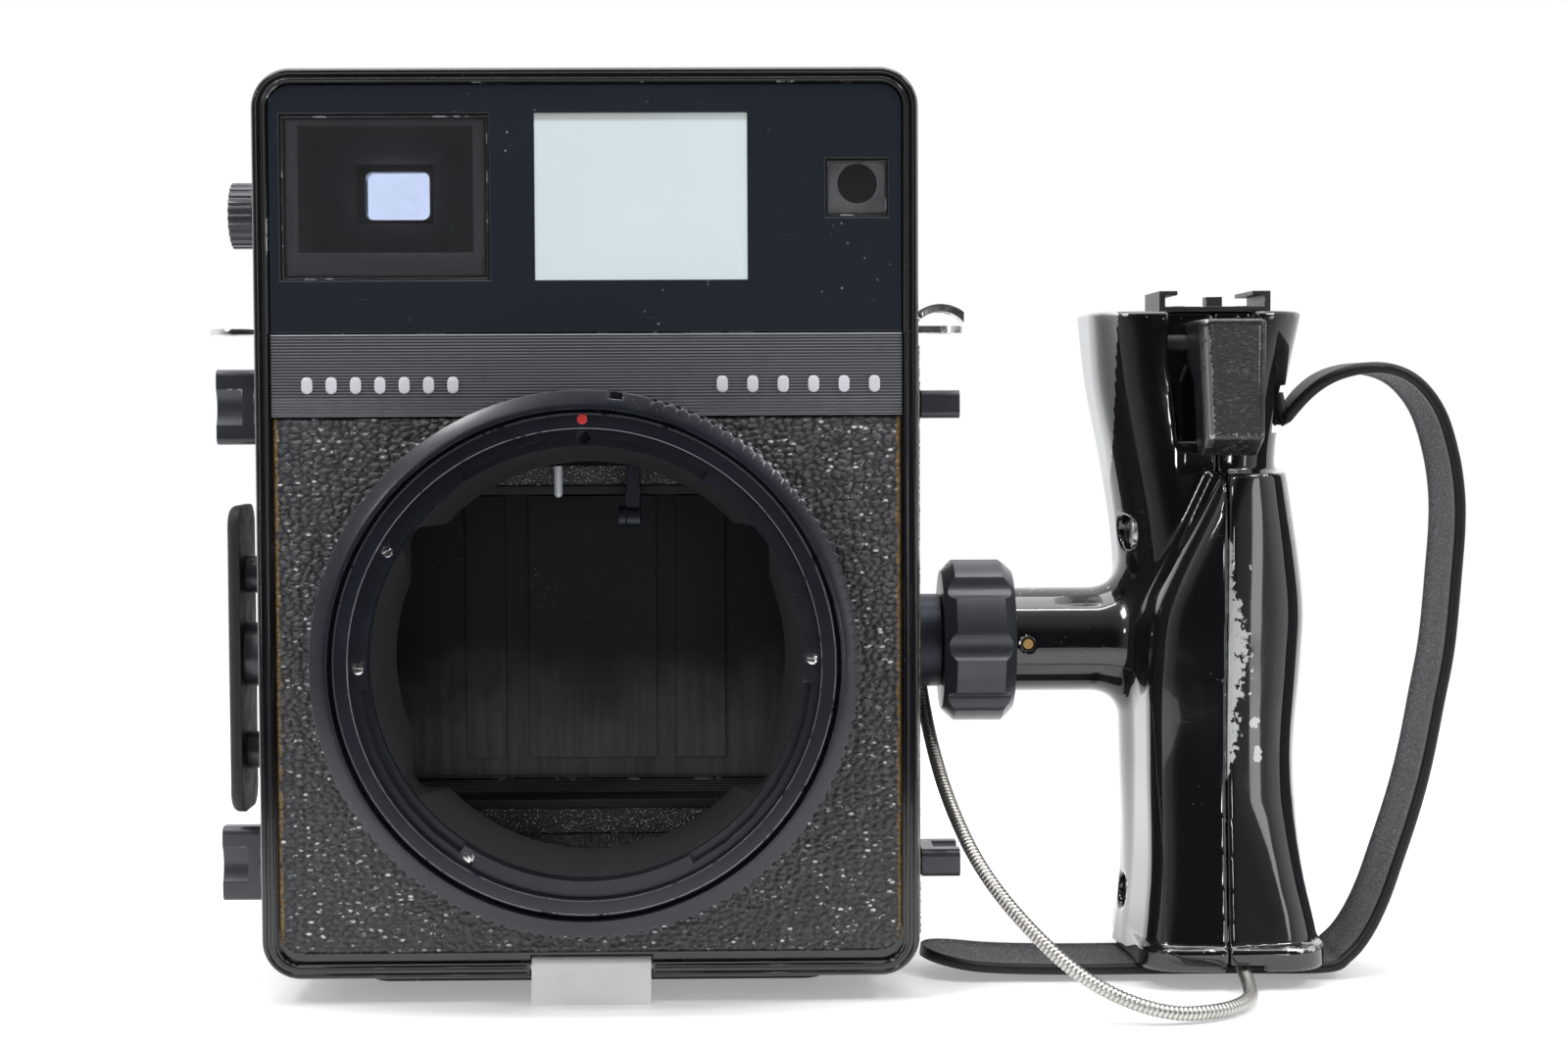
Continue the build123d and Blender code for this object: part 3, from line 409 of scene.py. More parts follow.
def moulded(name, base=(0.012, 0.012, 0.013), rough=0.36, edge=(0.16, 0.16, 0.165)):
    f = Finish(name, base, rough)
    f.vary_rough(f.patches(260.0, 4.0, 0.3, 0.8), rough + 0.2)
    f.tint(tuple(c * 2.4 for c in base), f.patches(120.0, 4.0, 0.4, 0.8, 0.7))
    f.bump(f.noise(3000.0, 3.0), 0.02)
    f.dust(0.8)
    f.worn("edge", edge, 260.0, 0.85, 0.4)
    return f.material


def cover_finish():
    """Satin moulding whose inner face shows fine upright streaks, lighter grey over its lower part: the
    streaked grain is its own, the grey is painted light falling through the throat.
    """
    f = Finish("moulded_black", (0.012, 0.0125, 0.0155), 0.5, specular=0.25)
    lines = f.noise(700.0, 4.0, f.stretched((1.0, 1.0, 0.06)))
    low = f.steps(f.math("MULTIPLY_ADD", f.noise(60.0, 3.0), 0.02, f.axis(2)), 0.07, 0.046)
    f.tint((0.012, 0.012, 0.015), f.patches(90.0, 4.0, 0.4, 0.8))
    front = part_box("rear_cover")[0][1]
    # Painted light: the lower part of the front face is lit grey in its streaks.
    painted_lit_streaks = f.math("MULTIPLY", low, f.steps(f.axis(1), front + 0.0028, front + 0.0022))
    f.tint((0.15, 0.15, 0.155), f.math("MULTIPLY", painted_lit_streaks, f.steps(lines, 0.25, 0.75, 0.6, 1.0)))
    f.bump(lines, 0.01)
    f.dust(0.8)
    f.worn("edge", (0.1, 0.1, 0.105), 260.0, 0.85, 0.4)
    return f.material


def trigger_finish():
    """Speckled satin black, rubbed bright along one edge."""
    f = Finish("trigger_black", (0.012, 0.0125, 0.014), 0.3, coat=0.15)
    brushed = f.noise(1.0, 4.0, f.stretched((900.0, 900.0, 3600.0)), 0.7)
    f.tint((0.12, 0.125, 0.13), f.steps(brushed, 0.5, 0.7, 0.0, 0.75))
    f.tint((0.004, 0.004, 0.005), f.patches(160.0, 3.0, 0.5, 0.7, 0.7))
    f.bump(f.noise(2400.0, 3.0), 0.03)
    f.dust(1.0, 800.0)
    f.worn("wear", (0.32, 0.325, 0.33), 900.0, 1.2, 0.35)
    return f.material


def strap_finish():
    """Smooth black outside, grey grain on the inside face."""
    f = Finish("strap_black", (0.008, 0.008, 0.009), 0.42, specular=0.3)
    inner = f.attribute("inner")
    grain = f.cells(1700.0)
    f.tint((0.06, 0.062, 0.065), f.math("MULTIPLY", inner, f.steps(grain, 0.1, 0.5, 0.4, 1.0)))
    f.tint((0.2, 0.205, 0.21), f.math("MULTIPLY", inner, f.patches(2200.0, 3.0, 0.48, 0.7)))
    f.vary_rough(inner, 0.7)
    f.bump(f.math("MULTIPLY", inner, grain), 0.12, 0.7)
    f.bump(f.noise(900.0, 3.0), 0.01)
    f.dust(0.5)
    return f.material


def sheath_finish():
    f = Finish("cable_sheath", (0.6, 0.59, 0.56), 0.26, metallic=1.0)
    f.vary_rough(f.noise(800.0, 3.0), 0.45)
    # Painted shade in the helical groove between the turns.
    f.tint((0.16, 0.15, 0.13), f.math("MULTIPLY", f.attribute("groove"), 0.9))
    f.tint((0.3, 0.28, 0.25), f.patches(90.0, 4.0, 0.5, 0.8, 0.5))
    f.bump(f.noise(2500.0, 2.0), 0.008)
    return f.material


def cloth_finish():
    f = Finish("bellows_cloth", (0.012, 0.012, 0.013), 0.75)
    f.set("Sheen Weight", 0.25)
    f.set("Sheen Roughness", 0.5)
    weave = f.add("ShaderNodeTexWave", {"Vector": f.where, "Scale": 900.0}, bands_direction="DIAGONAL")
    f.bump(weave.outputs["Fac"], 0.03)
    f.tint((0.03, 0.03, 0.032), f.noise(300.0, 4.0))
    return f.material


def flock_finish():
    f = Finish("flocking", (0.012, 0.012, 0.013), 0.5, specular=0.7)
    f.set("Sheen Weight", 0.2)
    grain = f.cells(2600.0)
    f.bump(f.math("POWER", grain, 1.5), 0.18)
    # Painted glints: scattered bright specks on the flock grain.
    f.tint((0.62, 0.63, 0.64), f.steps(f.cells(1900.0), 0.24, 0.12, 0.0, 0.9))
    f.vary_rough(f.noise(2200.0, 2.0), 0.25)
    return f.material


def dot_paint(name, base):
    f = Finish(name, base, 0.4)
    f.tint(tuple(c * 0.6 for c in base), f.patches(900.0, 3.0, 0.45, 0.8))
    f.bump(f.noise(1500.0, 2.0), 0.02)
    return f.material


def mirror_finish():
    f = Finish("mirror_gold", (0.16, 0.13, 0.06), 0.04, metallic=1.0)
    # Painted reflection: a brighter gold band over the lower part of the mirror.
    f.tint((0.55, 0.47, 0.2), f.steps(f.axis(2), 0.1445, 0.1425))
    f.vary_rough(f.noise(300.0, 3.0), 0.12)
    return f.material


FLOOR_AT = (0.045, 0.16, -0.0002)
FLOOR_RADIUS = 0.42


def floor_finish():
    """White sheet that fades into the white room at its rim."""
    f = Finish("floor_white", (0.8, 0.8, 0.8), 0.5, specular=0.2)
    f.set("Emission Color", (0.98, 0.99, 1.0, 1.0))
    distance = f.add("ShaderNodeVectorMath", {0: f.where}, operation="LENGTH").outputs["Value"]
    rim = f.steps(distance, 0.24, FLOOR_RADIUS - 0.02)
    f.set("Emission Strength", f.steps(rim, 0.0, 1.0, 0.3, 1.0, "LINEAR"))
    f.tint((0.77, 0.77, 0.78), f.noise(3.0, 2.0))
    f.tint((0.0, 0.0, 0.0), rim)
    f.vary_rough(f.noise(8.0, 2.0), 0.55)
    f.bump(f.noise(120.0, 2.0), 0.01)
    return f.material


# ---------------- mesh helpers
def shape(name, points_mm, faces, material, **layers):
    """New smooth mesh object from points in millimetres; each layer is an attribute of its points."""
    mesh = bpy.data.meshes.new(name)
    mesh.from_pydata((np.asarray(points_mm, float) * MM).tolist(), [], faces)
    mesh.validate()
    mesh.polygons.foreach_set("use_smooth", [True] * len(mesh.polygons))
    for key, values in layers.items():
        layer = mesh.attributes.new(key, "FLOAT", "POINT")
        layer.data.foreach_set("value", np.asarray(values, np.float32))
    mesh.materials.append(material)
    return show(name, mesh)


def piece(name, points_mm, faces, material, body="camera", **layers):
    """New mesh piece that moves with the body."""
    thing = shape(name, points_mm, faces, material, **layers)
    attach(thing, body)
    return thing


def tube_faces(rows, sides, inward=False, capped=True, loop=False):
    """Quads round a tube made of rows rings of points, and its two ends."""
    faces = []
    for i in range(rows if loop else rows - 1):
        a, b = i * sides, (i + 1) % rows * sides
        for j in range(sides):
            k = (j + 1) % sides
            faces.append((a + j, b + j, b + k, a + k) if inward else (a + j, a + k, b + k, b + j))
    ends = [tuple(range(sides)), tuple(range((rows - 1) * sides, rows * sides))]
    if capped:
        turned = 1 if inward else 0
        ends[turned] = ends[turned][::-1]
        faces += ends
    return faces


def paint(material, *names):
    """Give CAD nodes a material as they are."""
    for name in names:
        data = NODES[name].data
        data.materials.clear()
        data.materials.append(material)


SHARP_ANGLE = radians(32.0)
EDGE_WEAR = 0.42
# On the rings the edge value is set high, so the lighter edge colour runs nearly all round: partly real
# wear, partly a painted highlight along the chamfers.
RING_WEAR_AND_HIGHLIGHT = 0.6


def soften(node, width_mm, material, wear):
    """Copy of a CAD node with rounded edges and an edge attribute; it stands for the node."""
    source = NODES[node]
    mesh = source.data.copy()
    mesh.name = node + "_part"
    bm = bmesh.new()
    bm.from_mesh(mesh)
    bmesh.ops.remove_doubles(bm, verts=bm.verts, dist=2e-6)
    bmesh.ops.dissolve_limit(bm, angle_limit=radians(0.8), verts=bm.verts, edges=bm.edges)
    sharp = [e for e in bm.edges if len(e.link_faces) == 2 and e.calc_face_angle(0.0) > SHARP_ANGLE]
    layer = bm.loops.layers.float.new("edge")
    if sharp and width_mm:
        made = bmesh.ops.bevel(bm, geom=sharp, offset=width_mm * MM, offset_type="OFFSET", segments=2,
                               profile=0.5, affect="EDGES", clamp_overlap=True, miter_outer="SHARP")
        for face in made["faces"]:
            for loop in face.loops:
                loop[layer] = wear
    bmesh.ops.triangulate(bm, faces=[f for f in bm.faces if len(f.verts) > 4])
    bmesh.ops.remove_doubles(bm, verts=bm.verts, dist=1e-6)
    bm.to_mesh(mesh)
    bm.free()
    mesh.polygons.foreach_set("use_smooth", [True] * len(mesh.polygons))
    mesh.set_sharp_from_angle(angle=SHARP_ANGLE)
    mesh.materials.clear()
    mesh.materials.append(material)
    thing = show(node + "_part", mesh)
    weighted = thing.modifiers.new("weighted", "WEIGHTED_NORMAL")
    weighted.keep_sharp = True
    weighted.weight = 80
    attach(thing, source["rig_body"])
    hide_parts(node)
    return thing


def smin(a, b, k):
    h = np.clip(0.5 + 0.5 * (b - a) / k, 0.0, 1.0)
    return b + (a - b) * h - k * h * (1.0 - h)


def smax(a, b, k):
    return -smin(-a, -b, k)


def round_rect(x, y, x0, x1, y0, y1, r):
    qx = np.abs(x - (x0 + x1) / 2) - (x1 - x0) / 2 + r
    qy = np.abs(y - (y0 + y1) / 2) - (y1 - y0) / 2 + r
    return np.hypot(np.maximum(qx, 0), np.maximum(qy, 0)) + np.minimum(np.maximum(qx, qy), 0) - r


def cuboid(x, y, z, x0, x1, y0, y1, z0, z1, k=0.4):
    flat = round_rect(x, y, x0, x1, y0, y1, 0.8)
    return smax(flat, np.abs(z - (z0 + z1) / 2) - (z1 - z0) / 2, k)


def track(z, table, column):
    """Smooth value of one column of a table of sections at height z."""
    heights = np.array([row[0] for row in table], float)
    values = np.array([row[column] for row in table], float)
    slopes = np.gradient(values, heights)
    fine = np.linspace(heights[0], heights[-1], 240)
    i = np.clip(np.searchsorted(heights, fine) - 1, 0, len(heights) - 2)
    span = heights[i + 1] - heights[i]
    t = (fine - heights[i]) / span
    curve = (values[i] * (1 + 2 * t) * (1 - t) ** 2 + slopes[i] * span * t * (1 - t) ** 2
             + values[i + 1] * t * t * (3 - 2 * t) + slopes[i + 1] * span * t * t * (t - 1))
    return np.interp(z, fine, curve)


def net_mesh(field, low, high, step, rounds=4):
    """Points and quads of the closed surface where field is zero, in millimetres."""
    axes = [np.arange(a, b + step, step) for a, b in zip(low, high)]
    values = field(axes[0][:, None, None], axes[1][None, :, None], axes[2][None, None, :])
    values = np.broadcast_to(values, [len(a) for a in axes]).copy()
    inside = values < 0
    shape = [n - 1 for n in values.shape]
    corner = {a: tuple(slice(k, k + n) for k, n in zip(a, shape)) for a in np.ndindex(2, 2, 2)}
    total = sum(inside[c].astype(np.int8) for c in corner.values())
    active = (total > 0) & (total < 8)
    cell = np.argwhere(active)
    points = np.zeros((len(cell), 3))
    count = np.zeros(len(cell))
    for a in corner:
        for axis in range(3):
            if a[axis]:
                continue
            b = tuple(1 if n == axis else a[n] for n in range(3))
            va = values[corner[a]][active]
            vb = values[corner[b]][active]
            cross = (va < 0) != (vb < 0)
            t = np.where(cross, va / np.where(va == vb, 1, va - vb), 0)
            place = np.tile(np.array(a, float), (len(cell), 1))
            place[:, axis] = t
            points += np.where(cross[:, None], place, 0)
            count += cross
    points = (cell + points / count[:, None]) * step + np.array([a[0] for a in axes])
    number = -np.ones(active.shape, np.int64)
    number[active] = np.arange(len(cell))
    quads = []
    for axis in range(3):
        u, v = (axis + 1) % 3, (axis + 2) % 3
        start = np.take(inside, range(inside.shape[axis] - 1), axis)
        at = np.argwhere(np.diff(inside, axis=axis))
        at = at[(at[:, u] > 0) & (at[:, v] > 0) & (at[:, u] < shape[u]) & (at[:, v] < shape[v])]
        flip = start[tuple(at.T)]
        ring = []
        for du, dv in ((-1, -1), (0, -1), (0, 0), (-1, 0)):
            c = at.copy()
            c[:, u] += du
            c[:, v] += dv
            ring.append(number[tuple(c.T)])
        ring = np.stack(ring, 1)
        ring[~flip] = ring[~flip][:, ::-1]
        quads.append(ring)
    quads = np.concatenate(quads)
    tiny = 0.02
    for _ in range(rounds):
        x, y, z = points.T
        value = field(x, y, z)
        slope = np.stack([field(x + tiny, y, z) - field(x - tiny, y, z),
                          field(x, y + tiny, z) - field(x, y - tiny, z),
                          field(x, y, z + tiny) - field(x, y, z - tiny)], 1) / (2 * tiny)
        move = (value / np.maximum((slope ** 2).sum(1), 0.05))[:, None] * slope
        points = points - np.clip(move, -0.4 * step, 0.4 * step)
    return points, quads.tolist()


# ---------------- release cable
CABLE_ROUTE = (
    (0.1186, -0.0084, 0.0126),
    (0.1186, -0.0140, 0.0040),
    (0.1186, -0.0225, 0.0016),
    (0.1170, -0.0330, 0.0015),
    (0.1105, -0.0415, 0.0015),
    (0.1000, -0.0450, 0.0017),
    (0.0880, -0.0430, 0.0060),
    (0.0785, -0.0370, 0.0135),
    (0.0700, -0.0260, 0.0230),
    (0.0653, -0.0110, 0.0330),
    (0.0630, 0.0040, 0.0425),
    (0.0616, 0.0170, 0.0530),
    (0.0609, 0.0245, 0.0660),
    (0.0594, 0.0282, 0.0800),
    (0.0584, 0.0294, 0.0920),
)
CABLE_R = 1.3
CABLE_SIDES = 16
COIL_PITCH = 0.85
COIL_DEPTH = 0.2


def route_line():
    """Evenly spaced points along the cable, read from its NURBS spline."""
    data = bpy.data.curves.new("cable_line", "CURVE")
    data.dimensions = "3D"
    data.resolution_u = 40
    spline = data.splines.new("NURBS")
    spline.points.add(len(CABLE_ROUTE) - 1)
    for point, at in zip(spline.points, CABLE_ROUTE):
        point.co = (*at, 1.0)
    spline.order_u = 3
    spline.use_endpoint_u = True
    holder = show("cable_line", data)
    bpy.context.view_layer.update()
    mesh = bpy.data.meshes.new_from_object(holder)
    line = np.array([v.co for v in mesh.vertices], float)
    bpy.data.objects.remove(holder)
    bpy.data.meshes.remove(mesh)
    return line


def run_along(line):
    """Distance from the start of a line to each of its points."""
    return np.r_[0, np.cumsum(np.linalg.norm(np.diff(line, axis=0), axis=1))]


def walk(line, step):
    """Points along a line at equal steps, with the tangent and the distance at each, and the length."""
    run = run_along(line)
    where = np.linspace(0, run[-1], int(run[-1] / step) + 1)
    points = np.stack([np.interp(where, run, line[:, i]) for i in range(3)], 1)
    tangents = np.gradient(points, axis=0)
    return points, tangents / np.linalg.norm(tangents, axis=1)[:, None], where, run[-1]


def make_cable(material):
    """Close-wound sheath: a tube with a helical groove."""
    line = route_line()
    points, tangents, where, length = walk(line, COIL_PITCH * MM / 5)
    normal = np.cross(tangents[0], (1.0, 0.0, 0.0))
    normal /= np.linalg.norm(normal)
    rings, groove = [], []
    angles = np.linspace(0, 2 * pi, CABLE_SIDES, endpoint=False)
    for point, tangent, at in zip(points, tangents, where):
        normal = normal - tangent * normal.dot(tangent)
        normal /= np.linalg.norm(normal)
        side = np.cross(tangent, normal)
        wave = 0.5 - 0.5 * np.cos(2 * pi * at / (COIL_PITCH * MM) + angles)
        depth = wave ** 3
        radius = (CABLE_R - COIL_DEPTH * depth)[:, None] * MM
        rings.append(point + radius * (np.cos(angles)[:, None] * normal + np.sin(angles)[:, None] * side))
        groove.append(depth)
    cable = piece("release_cable_sheath", np.concatenate(rings) / MM, tube_faces(len(rings), CABLE_SIDES),
                  material, groove=np.concatenate(groove))
    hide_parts("release_cable")


STEEL = turned_metal("steel", (0.55, 0.55, 0.54), 0.24)
make_cable(sheath_finish())

# ---------------- grip
GRIP_SEAM = 115.6
GRIP_TOP = 123.8
GRIP_BASE = 3.4
ARM_Y = 8.0
ARM_R = 9.9
SET_SCREW_X = 80.8
SET_SCREW_R = 1.15
SCREW_HOLES = ((2.0, 82.6), (6.0, 14.0))
SCREW_HOLE_R = 3.2
# boxes cut from the casting: x, y and z ranges
CABLE_POCKET = (115.0, 122.2, -16.6, -6.2, 0.0, 12.8)
CABLE_MOUTH = (115.0, 122.2, -25.0, -16.0, 0.0, 4.6)
STRAP_SLOT = (126.6, 145.0, -0.6, 10.6, 101.2, 110.0)
GRIP_STEP = 0.6
GRIP_LOW = (-21.0, 2.0)
GRIP_HIGH = (31.0, 126.0)
# piece, node it stands for, side, x range of its mesh
GRIP_HALVES = (("grip_left_shell", "grip_left_half", -1, 70.0, 117.0),
               ("grip_right_shell", "grip_right_half", 1, 114.0, 137.0))
# height, left, right, front, back, corner radius
COLUMN = (
    (3.4, 99.6, 134.6, -7, 29, 10),
    (8, 99.8, 134.2, -6, 28.6, 10),
    (20, 100.0, 132.6, -5, 27, 12),
    (40, 99.2, 130.4, -5, 26, 13),
    (60, 98.8, 131.2, -5, 26, 13),
    (80, 98.6, 130.4, -5, 26, 12),
    (96, 96.4, 128.2, -5, 26, 11),
    (110, 93.8, 130.2, -5.5, 27, 11),
    (124, 92.4, 132.6, -7, 28, 10),
)
# height, left, right, front
FINGER = (
    (3.4, 99.9, 134.2, -19.2),
    (9, 100.6, 133.4, -18.6),
    (20, 101.6, 131.4, -17.4),
    (40, 101.6, 129.8, -15.9),
    (58, 101.6, 130.8, -16.4),
    (68, 102.6, 131.2, -17.0),
    (78, 106.6, 130.2, -17.3),
    (86, 110.4, 129.0, -17.3),
    (95, 114.6, 127.6, -17.2),
)


def grip_field(x, y, z):
    """Signed distance to the outside of the whole grip casting."""
    column = round_rect(x, y, *[track(z, COLUMN, i) for i in range(1, 6)])
    column = smax(column, z - GRIP_TOP, 1.2)
    left, right, front = [track(z, FINGER, i) for i in (1, 2, 3)]
    left_turn, right_turn, bevel_turn = radians(7.0), radians(11.0), radians(28.0)
    face_l = -(x - GRIP_SEAM) * sin(left_turn) - (y - front) * cos(left_turn)
    face_r = (x - GRIP_SEAM) * sin(right_turn) - (y - front) * cos(right_turn)
    bevel_r = (x - GRIP_SEAM - 6.2) * sin(bevel_turn) - (y - front - 1.2) * cos(bevel_turn)
    bevel_r = bevel_r - np.clip((34.0 - z) / 21.0, 0.0, 1.0) * 2.4
    face_r = smax(face_r, bevel_r, 1.6)
    side_l = (left - x) * 0.97 + (front + 10 - y) * 0.1
    side_r = (x - right) * 0.96 + (front + 9 - y) * 0.16
    finger = smax(smax(face_l, face_r, 0.5), smax(side_l, side_r, 0.1), 5.5)
    finger = smax(smax(finger, z - 94.0, 0.7), y - 10.0, 1.0)
    body = smin(column, finger, 1.2)
    arm = np.hypot(y - ARM_Y, z - LENS_AXIS_Z) - ARM_R
    arm = np.maximum(np.maximum(arm, 71.3 - x), x - 110.0)
    body = smin(body, arm, 6.0)
    # foot flange
    slab = round_rect(x, y, 100.0, 134.3, -19.6, 29.2, 8.0)
    slab = smax(slab, np.abs(z - (GRIP_BASE + 2.15)) - 2.15, 0.9)
    body = smin(smax(body, GRIP_BASE + 0.3 - z, 0.5), slab, 0.8)
    # hollow for the trigger
    lip = 106.2 + np.clip((116.8 - z) / 23.8, 0.0, 1.0) * 2.8
    slot = smax(np.maximum(lip - x, x - 122.5), y + 0.6, 0.8)
    slot = smax(slot, 94.8 - z, 0.5)
    upper = np.maximum(slot, 99.4 - z)
    lower = smax(np.maximum(np.maximum(108.9 - x, x - 122.5), y + 4.9), np.maximum(94.6 - z, z - 100.0), 0.4)
    body = smax(body, -upper, 0.5)
    body = smax(body, -lower, 0.5)
    # pocket and mouth for the cable
    pocket = smin(cuboid(x, y, z, *CABLE_POCKET), cuboid(x, y, z, *CABLE_MOUTH), 0.4)
    body = smax(body, -pocket, 0.4)
    # screw holes, set screw and strap slot
    for hole_y, hole_z in SCREW_HOLES:
        hole = np.maximum(np.hypot(y - hole_y, z - hole_z) - SCREW_HOLE_R, x - 101.2)
        body = smax(body, -hole, 0.5)
    grub = np.maximum(np.hypot(x - SET_SCREW_X, z - LENS_AXIS_Z) - SET_SCREW_R, y - 1.0)
    body = smax(body, -grub, 0.3)
    return smax(body, -cuboid(x, y, z, *STRAP_SLOT), 0.4)


# height and width of the bare metal beside the seam
SEAM_WEAR = ((38.0, 0.2), (41.0, 0.9), (45.5, 2.4), (50.8, 1.9), (56.0, 3.9), (61.4, 4.5), (66.7, 2.9),
             (73.8, 1.3), (80.0, 1.0), (82.5, 0.2))


def grip_wear(p):
    """How rubbed the paint is at each point, 0 to 1."""
    x, y, z = p.T
    front = y < -8
    beside = x - GRIP_SEAM
    width = np.interp(z, [r[0] for r in SEAM_WEAR], [r[1] for r in SEAM_WEAR])
    patch = np.where(front & (x > GRIP_SEAM - 0.1), 0.84 - 0.4 * beside / np.maximum(width, 0.05), 0.0)
    patch *= (width > 0.25)
    line = np.where(front & (x < GRIP_SEAM), 0.44 - 0.5 * np.abs(beside), 0.0) * (z < 90)
    base = 0.5 - 0.5 * np.abs(z - 7.5)
    base += np.where((x > 126) & (y < -6), 0.16, -0.08)
    edge = np.abs(x - track(z, FINGER, 2) + 0.9)
    right = np.where((y < -6) & (z > 79) & (z < 94.5), 0.5 - 0.45 * edge, 0.0)
    shelf = np.where((y < -8) & (x > 116), 0.42 - 0.5 * np.abs(z - 93.7), 0.0)
    collar = np.where(z > 120, 0.4 - 0.3 * np.abs(z - 123.0), 0.0)
    spots = np.zeros_like(x)
    for sx, sz, radius in ((120.9, 48.6, 0.9), (121.5, 43.4, 0.8), (121.4, 41.9, 0.8), (119.6, 77.0, 0.4)):
        spots = np.maximum(spots, np.where(front, 1.1 - 0.55 * np.hypot(x - sx, z - sz) / radius, 0.0))
    arm = np.where((x < 97) & (z > 66), 0.22 + 0.1 * (z - 66) / 6, 0.0)
    return np.clip(np.max([patch, line, base, right, shelf, collar, spots, arm], axis=0), 0.0, 1.2)


def make_grip(material):
    for name, node, side, x0, x1 in GRIP_HALVES:
        def half(x, y, z, side=side):
            return smax(grip_field(x, y, z), 0.06 - side * (x - GRIP_SEAM), 0.6)
        points, quads = net_mesh(half, (x0, *GRIP_LOW), (x1, *GRIP_HIGH), GRIP_STEP)
        shell = piece(name, points, quads, material, wear=grip_wear(points))
        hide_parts(node)


make_grip(grip_enamel())


# ---------------- trigger
TRIGGER_TOP = 122.0
TRIGGER_LEFT = 109.9
TRIGGER_PIN = (-3.0, 118.0, 1.56)


def trigger_field(x, y, z):
    """Block with a raked face, thinner neck and foot, hung on its pivot."""
    drop = TRIGGER_TOP - z
    left = TRIGGER_LEFT + np.clip(drop / 22.0, 0, 1) * 1.2
    face = -(y + 22.4 - drop * 0.066)
    back = y + 8.2 - np.clip((z - 111.0) / 3.0, 0, 1) * 6.8
    d = smax(smax(left - x, x - 121.4, 0.1), smax(face, back, 0.4), 1.1)
    d = smax(d, z - 121.9, 1.0)
    heel = (100.4 - z) - (y + 20.8) * 0.46
    d = smax(d, heel, 0.7)
    d = smax(d, 97.2 - z, 0.5)
    pin_y, pin_z, pin_r = TRIGGER_PIN
    return smax(d, pin_r - np.hypot(y - pin_y, z - pin_z), 0.2)


def trigger_wear(p):
    x, y, z = p.T
    left = TRIGGER_LEFT + (TRIGGER_TOP - z) / 22.0 * 1.2
    edge = np.where(y < -17, 0.95 - 0.55 * np.abs(x - left - 0.5), 0.0)
    edge *= np.interp(z, (100, 102, 118, 122), (1, 1, 0.8, 0.6))
    low = np.where(y < -17, 0.5 - 0.4 * np.abs(z - 101.2), 0.0)
    return np.clip(np.maximum(edge, low), 0, 1.1)


points, quads = net_mesh(trigger_field, (108.5, -24.0, 95.5), (123.0, 0.5, 123.5), 0.4)
trigger = piece("trigger_block", points, quads, trigger_finish(), "trigger_body", wear=trigger_wear(points))
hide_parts("trigger")


# ---------------- strap
STRAP_PATH = (
    (128.4, 108.6), (129.3, 103.3), (133.6, 108.8), (138.0, 111.9), (143.7, 113.2), (148.9, 112.2),
    (152.9, 109.4), (156.2, 104.5), (158.4, 97.5), (159.5, 90.8), (159.7, 84.2), (159.1, 75.0),
    (157.9, 61.6), (156.0, 51.0), (154.0, 40.5), (151.7, 31.5), (148.7, 22.2), (145.9, 14.2),
    (142.8, 8.0), (139.4, 4.0), (135.2, 2.1), (118.0, 2.1), (102.0, 2.1), (86.0, 2.1), (72.0, 2.6),
    (60.6, 4.2),
)
STRAP_HALF_T = 1.05
STRAP_Y = (-10.4, 10.2)
STRAP_STEP = 0.7


def smooth_path(points, step):
    """Even points along a smooth curve through the given ones."""
    p = np.asarray(points, float)
    p = np.vstack([2 * p[0] - p[1], p, 2 * p[-1] - p[-2]])
    out = []
    for i in range(1, len(p) - 2):
        for t in np.linspace(0, 1, 24, endpoint=False):
            out.append(0.5 * (2 * p[i] + (p[i + 1] - p[i - 1]) * t
                              + (2 * p[i - 1] - 5 * p[i] + 4 * p[i + 1] - p[i + 2]) * t ** 2
                              + (3 * p[i] - p[i - 1] - 3 * p[i + 1] + p[i + 2]) * t ** 3))
    out.append(p[-2])
    out = np.array(out)
    run = run_along(out)
    where = np.linspace(0, run[-1], int(run[-1] / step) + 1)
    return np.stack([np.interp(where, run, out[:, i]) for i in range(p.shape[1])], 1)


def strap_section(half):
    """Closed outline of the band: (across, through, mark of the inner face)."""
    loop = []
    for side, start in ((1, -pi / 2), (-1, pi / 2)):
        for i in range(9):
            a = start + pi * i / 8
            loop.append((side * (half - STRAP_HALF_T) + STRAP_HALF_T * cos(a), STRAP_HALF_T * sin(a), 0.0))
        if side > 0:
            loop += [(s * (half - 1.5), STRAP_HALF_T, 0.0) for s in (1.0, 0.5, 0.0, -0.5, -1.0)]
    for s in (-1.0, -0.92, -0.5, 0.0, 0.5, 0.92, 1.0):
        dish, mark = (0.3, 1.0) if abs(s) < 0.95 else (0.0, 0.3)
        loop.append((s * (half - 1.7), -STRAP_HALF_T + dish, mark))
    return loop


